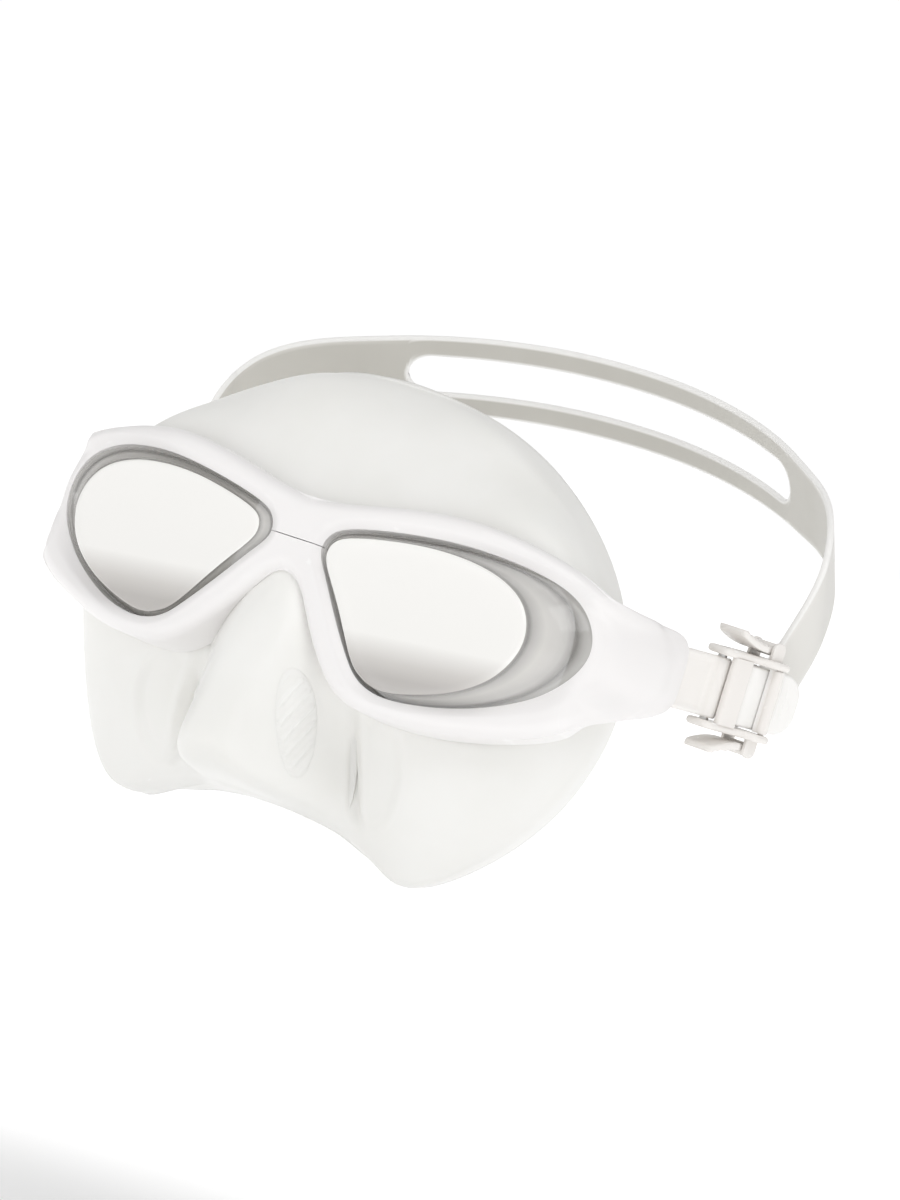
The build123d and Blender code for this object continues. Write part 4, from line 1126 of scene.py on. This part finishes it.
low_run, up_run = run_at(lower_edge[:, 0]), run_at(upper_edge[:, 0])
back_start = int(np.argmax(lower_edge[:, 0] > 118 * MM))
to_middle = np.linspace(0, 1, 170)[1:]
low_tail = low_run[back_start] + (outline_run[-1] - low_run[back_start]) * to_middle
up_tail = up_run[back_start] + (outline_run[-1] - up_run[back_start]) * to_middle
low_run = np.concatenate([low_run[: back_start + 1], low_tail])
up_run = np.concatenate([up_run[: back_start + 1], up_tail])
half_share = np.array([0, 0.008, 0.03, 0.06, 0.1, 0.2, 0.35, 0.5, 0.65, 0.8, 0.9, 0.94, 0.97, 0.992, 1.0])


def plan_place(run):
    """Plan point (across, t) at a length along the loop."""
    return np.interp(run, outline_run, outline[:, 0]), np.interp(run, outline_run, outline[:, 1])


def edge_heights(edge, run):
    """Height of an edge where the plan curve has reached the given length."""
    t = plan_place(run)[1]
    return np.interp(t, edge[:, 0], edge[:, 1])


low_h = edge_heights(lower_edge, low_run)
up_h = edge_heights(upper_edge, up_run)
middle_h = (low_h + up_h) / 2


def tail_place(run):
    """Strap path in the buckle from the free end: (back, towards the head) and its normal's
    angle. A straight free end, half a turn round the roller, and a straight inner layer."""
    straight = TAIL_BACK - ROLLER_BACK
    turn = np.clip((run - straight) / LAYER, 0, np.pi)
    back = np.where(run < straight, TAIL_BACK - run, ROLLER_BACK - LAYER * np.sin(turn))
    head = np.where(run < straight, -LAYER, -LAYER * np.cos(turn))
    beyond = np.maximum(run - straight - np.pi * LAYER, 0)
    return back + beyond, head


to_roller = TAIL_BACK - ROLLER_BACK
tail_run = np.concatenate(
    [
        np.array([0, 0.03, 0.1, 0.22, 0.4, 0.65, 0.9, 1.3, 1.8, 2.4, 3.0]) * MM,
        np.linspace(3.4 * MM, to_roller, 70),
        np.linspace(to_roller, to_roller + np.pi * LAYER, 26)[1:],
        np.linspace(0, LINK_BACK - ROLLER_BACK, 10)[1:] + to_roller + np.pi * LAYER,
    ]
)
across = np.concatenate([half_share - 1.0, 1 - half_share[::-1][1:]])
tail_back_place, tail_head = tail_place(tail_run)
END_CORNER = 6.5 * MM
from_end = np.clip(tail_run, 0, END_CORNER)
end_half = HALF_STRAP - END_CORNER + np.sqrt(END_CORNER**2 - (END_CORNER - from_end) ** 2)
tail_up = end_half[:, None] * across
tail_mid = on_buckle(tail_back_place[:, None], tail_head[:, None], tail_up)
corner = np.stack(np.broadcast_arrays(np.maximum(END_CORNER - tail_run[:, None], 0),
                                      np.maximum(abs(tail_up) - (HALF_STRAP - END_CORNER), 0)), -1)
in_corner = END_CORNER - np.linalg.norm(corner, axis=-1)
tail_edge = np.minimum(in_corner, np.minimum(HALF_STRAP - abs(tail_up), tail_run[:, None]))

# The band goes on from the inner layer: its plan changes from the buckle's line to the loop's.
share_up = (across + 1) / 2
run_grid = low_run[:, None] + (up_run - low_run)[:, None] * share_up
slit_x = np.clip((SLIT_HALF_LENGTH - plan_place((low_run + up_run) / 2)[0]), 0, SLIT_HALF_HEIGHT)
slit_half = np.sqrt(np.maximum(SLIT_HALF_HEIGHT**2 - (SLIT_HALF_HEIGHT - slit_x) ** 2, 0))
h_low_side = low_h[:, None] + (middle_h - slit_half - low_h)[:, None] * half_share
h_up_side = up_h[:, None] + (middle_h + slit_half - up_h)[:, None] * half_share
centre = len(half_share) - 1


def loop_grid(run, h):
    """Points of the inclined loop at lengths along it and heights above its plane."""
    x, t = plan_place(run)
    y = t * np.cos(INCLINE) - h * np.sin(INCLINE)
    z = t * np.sin(INCLINE) + h * np.cos(INCLINE)
    return np.stack([x, y, z], -1)


lower_band = loop_grid(run_grid[:, : centre + 1], h_low_side)
upper_band = loop_grid(run_grid[:, centre:], h_up_side[:, ::-1])
strap_slope = ALONG_STRAP[0] / ALONG_STRAP[1]
line_start = HINGE + INWARD * LAYER
line_x = line_start[0] + strap_slope * (lower_band[..., 1] - line_start[1])
line_x_up = line_start[0] + strap_slope * (upper_band[..., 1] - line_start[1])
link_rows = int(np.argmax(lower_edge[:, 0] > 70.1 * MM))
follow = eased(np.arange(len(low_run)), 0, link_rows * 1.15)[:, None]
lower_band[..., 0] = line_x + (lower_band[..., 0] - line_x) * follow
upper_band[..., 0] = line_x_up + (upper_band[..., 0] - line_x_up) * follow


def band_edge(run, h, low, up):
    """Distance of each point of the band from its nearest edge or from the slit."""
    x = plan_place(run)[0]
    past = np.maximum(x - (SLIT_HALF_LENGTH - SLIT_HALF_HEIGHT), 0)
    from_slit = np.sqrt(past**2 + (h - middle_h[:, None]) ** 2) - SLIT_HALF_HEIGHT
    return np.minimum(np.minimum(h - low[:, None], up[:, None] - h), np.maximum(from_slit, 0))


lower_rim = band_edge(run_grid[:, : centre + 1], h_low_side, low_h, up_h)
upper_rim = band_edge(run_grid[:, centre:], h_up_side[:, ::-1], low_h, up_h)


def both_faces(middle, rim, normal, ribs=0.0):
    """The two faces of a band: its mid surface moved each way by half its thickness, which falls
    to nothing at the edges in a quarter ellipse."""
    fall = 1 - np.clip(rim / (0.75 * MM), 0, 1)
    half = HALF_THICK * np.sqrt(np.maximum(1 - fall**2, 0))[..., None]
    return middle + normal * (half + ribs), middle - normal * half


half_mid = np.concatenate([tail_mid[:-1], np.concatenate([lower_band, upper_band[:, 1:]], 1)])
half_normal = grid_normals(half_mid, False)
half_normal[0] = half_normal[1]
tail_count = len(tail_mid) - 1
tail_rim = np.concatenate([tail_edge[:-1], np.concatenate([lower_rim, upper_rim[:, 1:]], 1)])
rib_wave = np.maximum(np.cos(2 * np.pi * (tail_run - 6.0 * MM) / (2.1 * MM)), 0) ** 2
rib_half = 5.6 * MM * np.sqrt(np.maximum(1 - ((tail_run - 8.0 * MM) / (4.2 * MM)) ** 2, 0))
tail_ribs = 0.3 * MM * rib_wave[:, None] * eased(rib_half[:, None] - abs(tail_up), 0.0, 1.2 * MM)
all_ribs = np.zeros(half_mid.shape[:2])
all_ribs[:tail_count] = tail_ribs[:-1]
face_sign = np.sign((half_normal[20] @ -INWARD).mean())
half_normal = half_normal * face_sign
outer_face, inner_face = both_faces(half_mid, tail_rim, half_normal, all_ribs[..., None])


# How far each strap point is out of the painted shade: 1 at the edges and all through the piece inside the
# buckle, falling to 0 away from the edges.
out_of_painted_shade = 1 - eased(tail_rim, 0.7 * MM, 1.3 * MM)
out_of_painted_shade[:tail_count] = 1.0


def slab(rows):
    """Closed slab of a span of rows: both faces and a cap over each cut end, and how far each
    point is out of the painted shade: the face away from the head and the edges are 1, the middle of the
    face towards it 0, where the shade is painted darkest."""
    a, b = outer_face[rows], inner_face[rows]
    light = out_of_painted_shade[rows]
    ones = 0.5 + 0.5 * light
    caps = [np.stack([light[0], ones[0]]), np.stack([light[-1], ones[-1]])]
    return [a, b, np.stack([a[0], b[0]]), np.stack([a[-1], b[-1]])], [light, ones, *caps]


link_span = slice(tail_count, tail_count + link_rows + 1)
for side, turn in (("left", lambda g: g), ("right", mirrored)):
    faces, light = slab(slice(0, tail_count + 1))
    tail = skin("strap_end_" + side, [turn(g) for g in faces], sharp=60, band=light)
    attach(tail, "buckle_" + side)
    dress(tail, STRAP_SILICONE)
    faces, light = slab(link_span)
    link = skin("strap_link_" + side, [turn(g) for g in faces], sharp=60, band=light)
    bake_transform(link)
    dress(link, STRAP_SILICONE)
first = tail_count + link_rows
loop_faces, loop_out_of_painted_shade = [], []
for columns in (slice(0, centre + 1), slice(centre, None)):
    a, b = outer_face[first:, columns].copy(), inner_face[first:, columns].copy()
    light = out_of_painted_shade[first:, columns].copy()
    if columns.start != 0:
        rim = upper_rim[link_rows:, 0]
        fall = 1 - np.clip(rim / (0.75 * MM), 0, 1)
        half = HALF_THICK * np.sqrt(np.maximum(1 - fall**2, 0))[:, None]
        a[:, 0] = upper_band[link_rows:, 0] + half_normal[first:, centre] * half
        b[:, 0] = upper_band[link_rows:, 0] - half_normal[first:, centre] * half
        light[:, 0] = 1 - eased(rim, 0.7 * MM, 1.3 * MM)
    ones = 0.5 + 0.5 * light
    loop_faces += [a, b, np.stack([a[0], b[0]])]
    loop_out_of_painted_shade += [light, ones, np.stack([light[0], ones[0]])]
both_sides = loop_faces + [mirrored(g) for g in loop_faces]
loop = skin("strap_loop", both_sides, sharp=60, band=loop_out_of_painted_shade * 2)
cut_low, cut_up = half_mid[first, 0], half_mid[first, -1]
slant = np.cross((1.0, 0.0, 0.0), cut_up - cut_low)
slant /= np.linalg.norm(slant) * np.sign(slant[1])
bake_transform(loop)
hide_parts("strap")
dress(loop, STRAP_SILICONE)


# ---- pins, rollers and pawls ----
# The parts that mostly hide behind the others keep their machined shapes: steel pins, and the
# white roller and pawl that grip the strap.
for name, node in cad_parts.items():
    if "pin" in name:
        dress(node, PIN_STEEL)
    elif "roller" in name or "pawl" in name:
        dress(node, BUCKLE_WHITE)
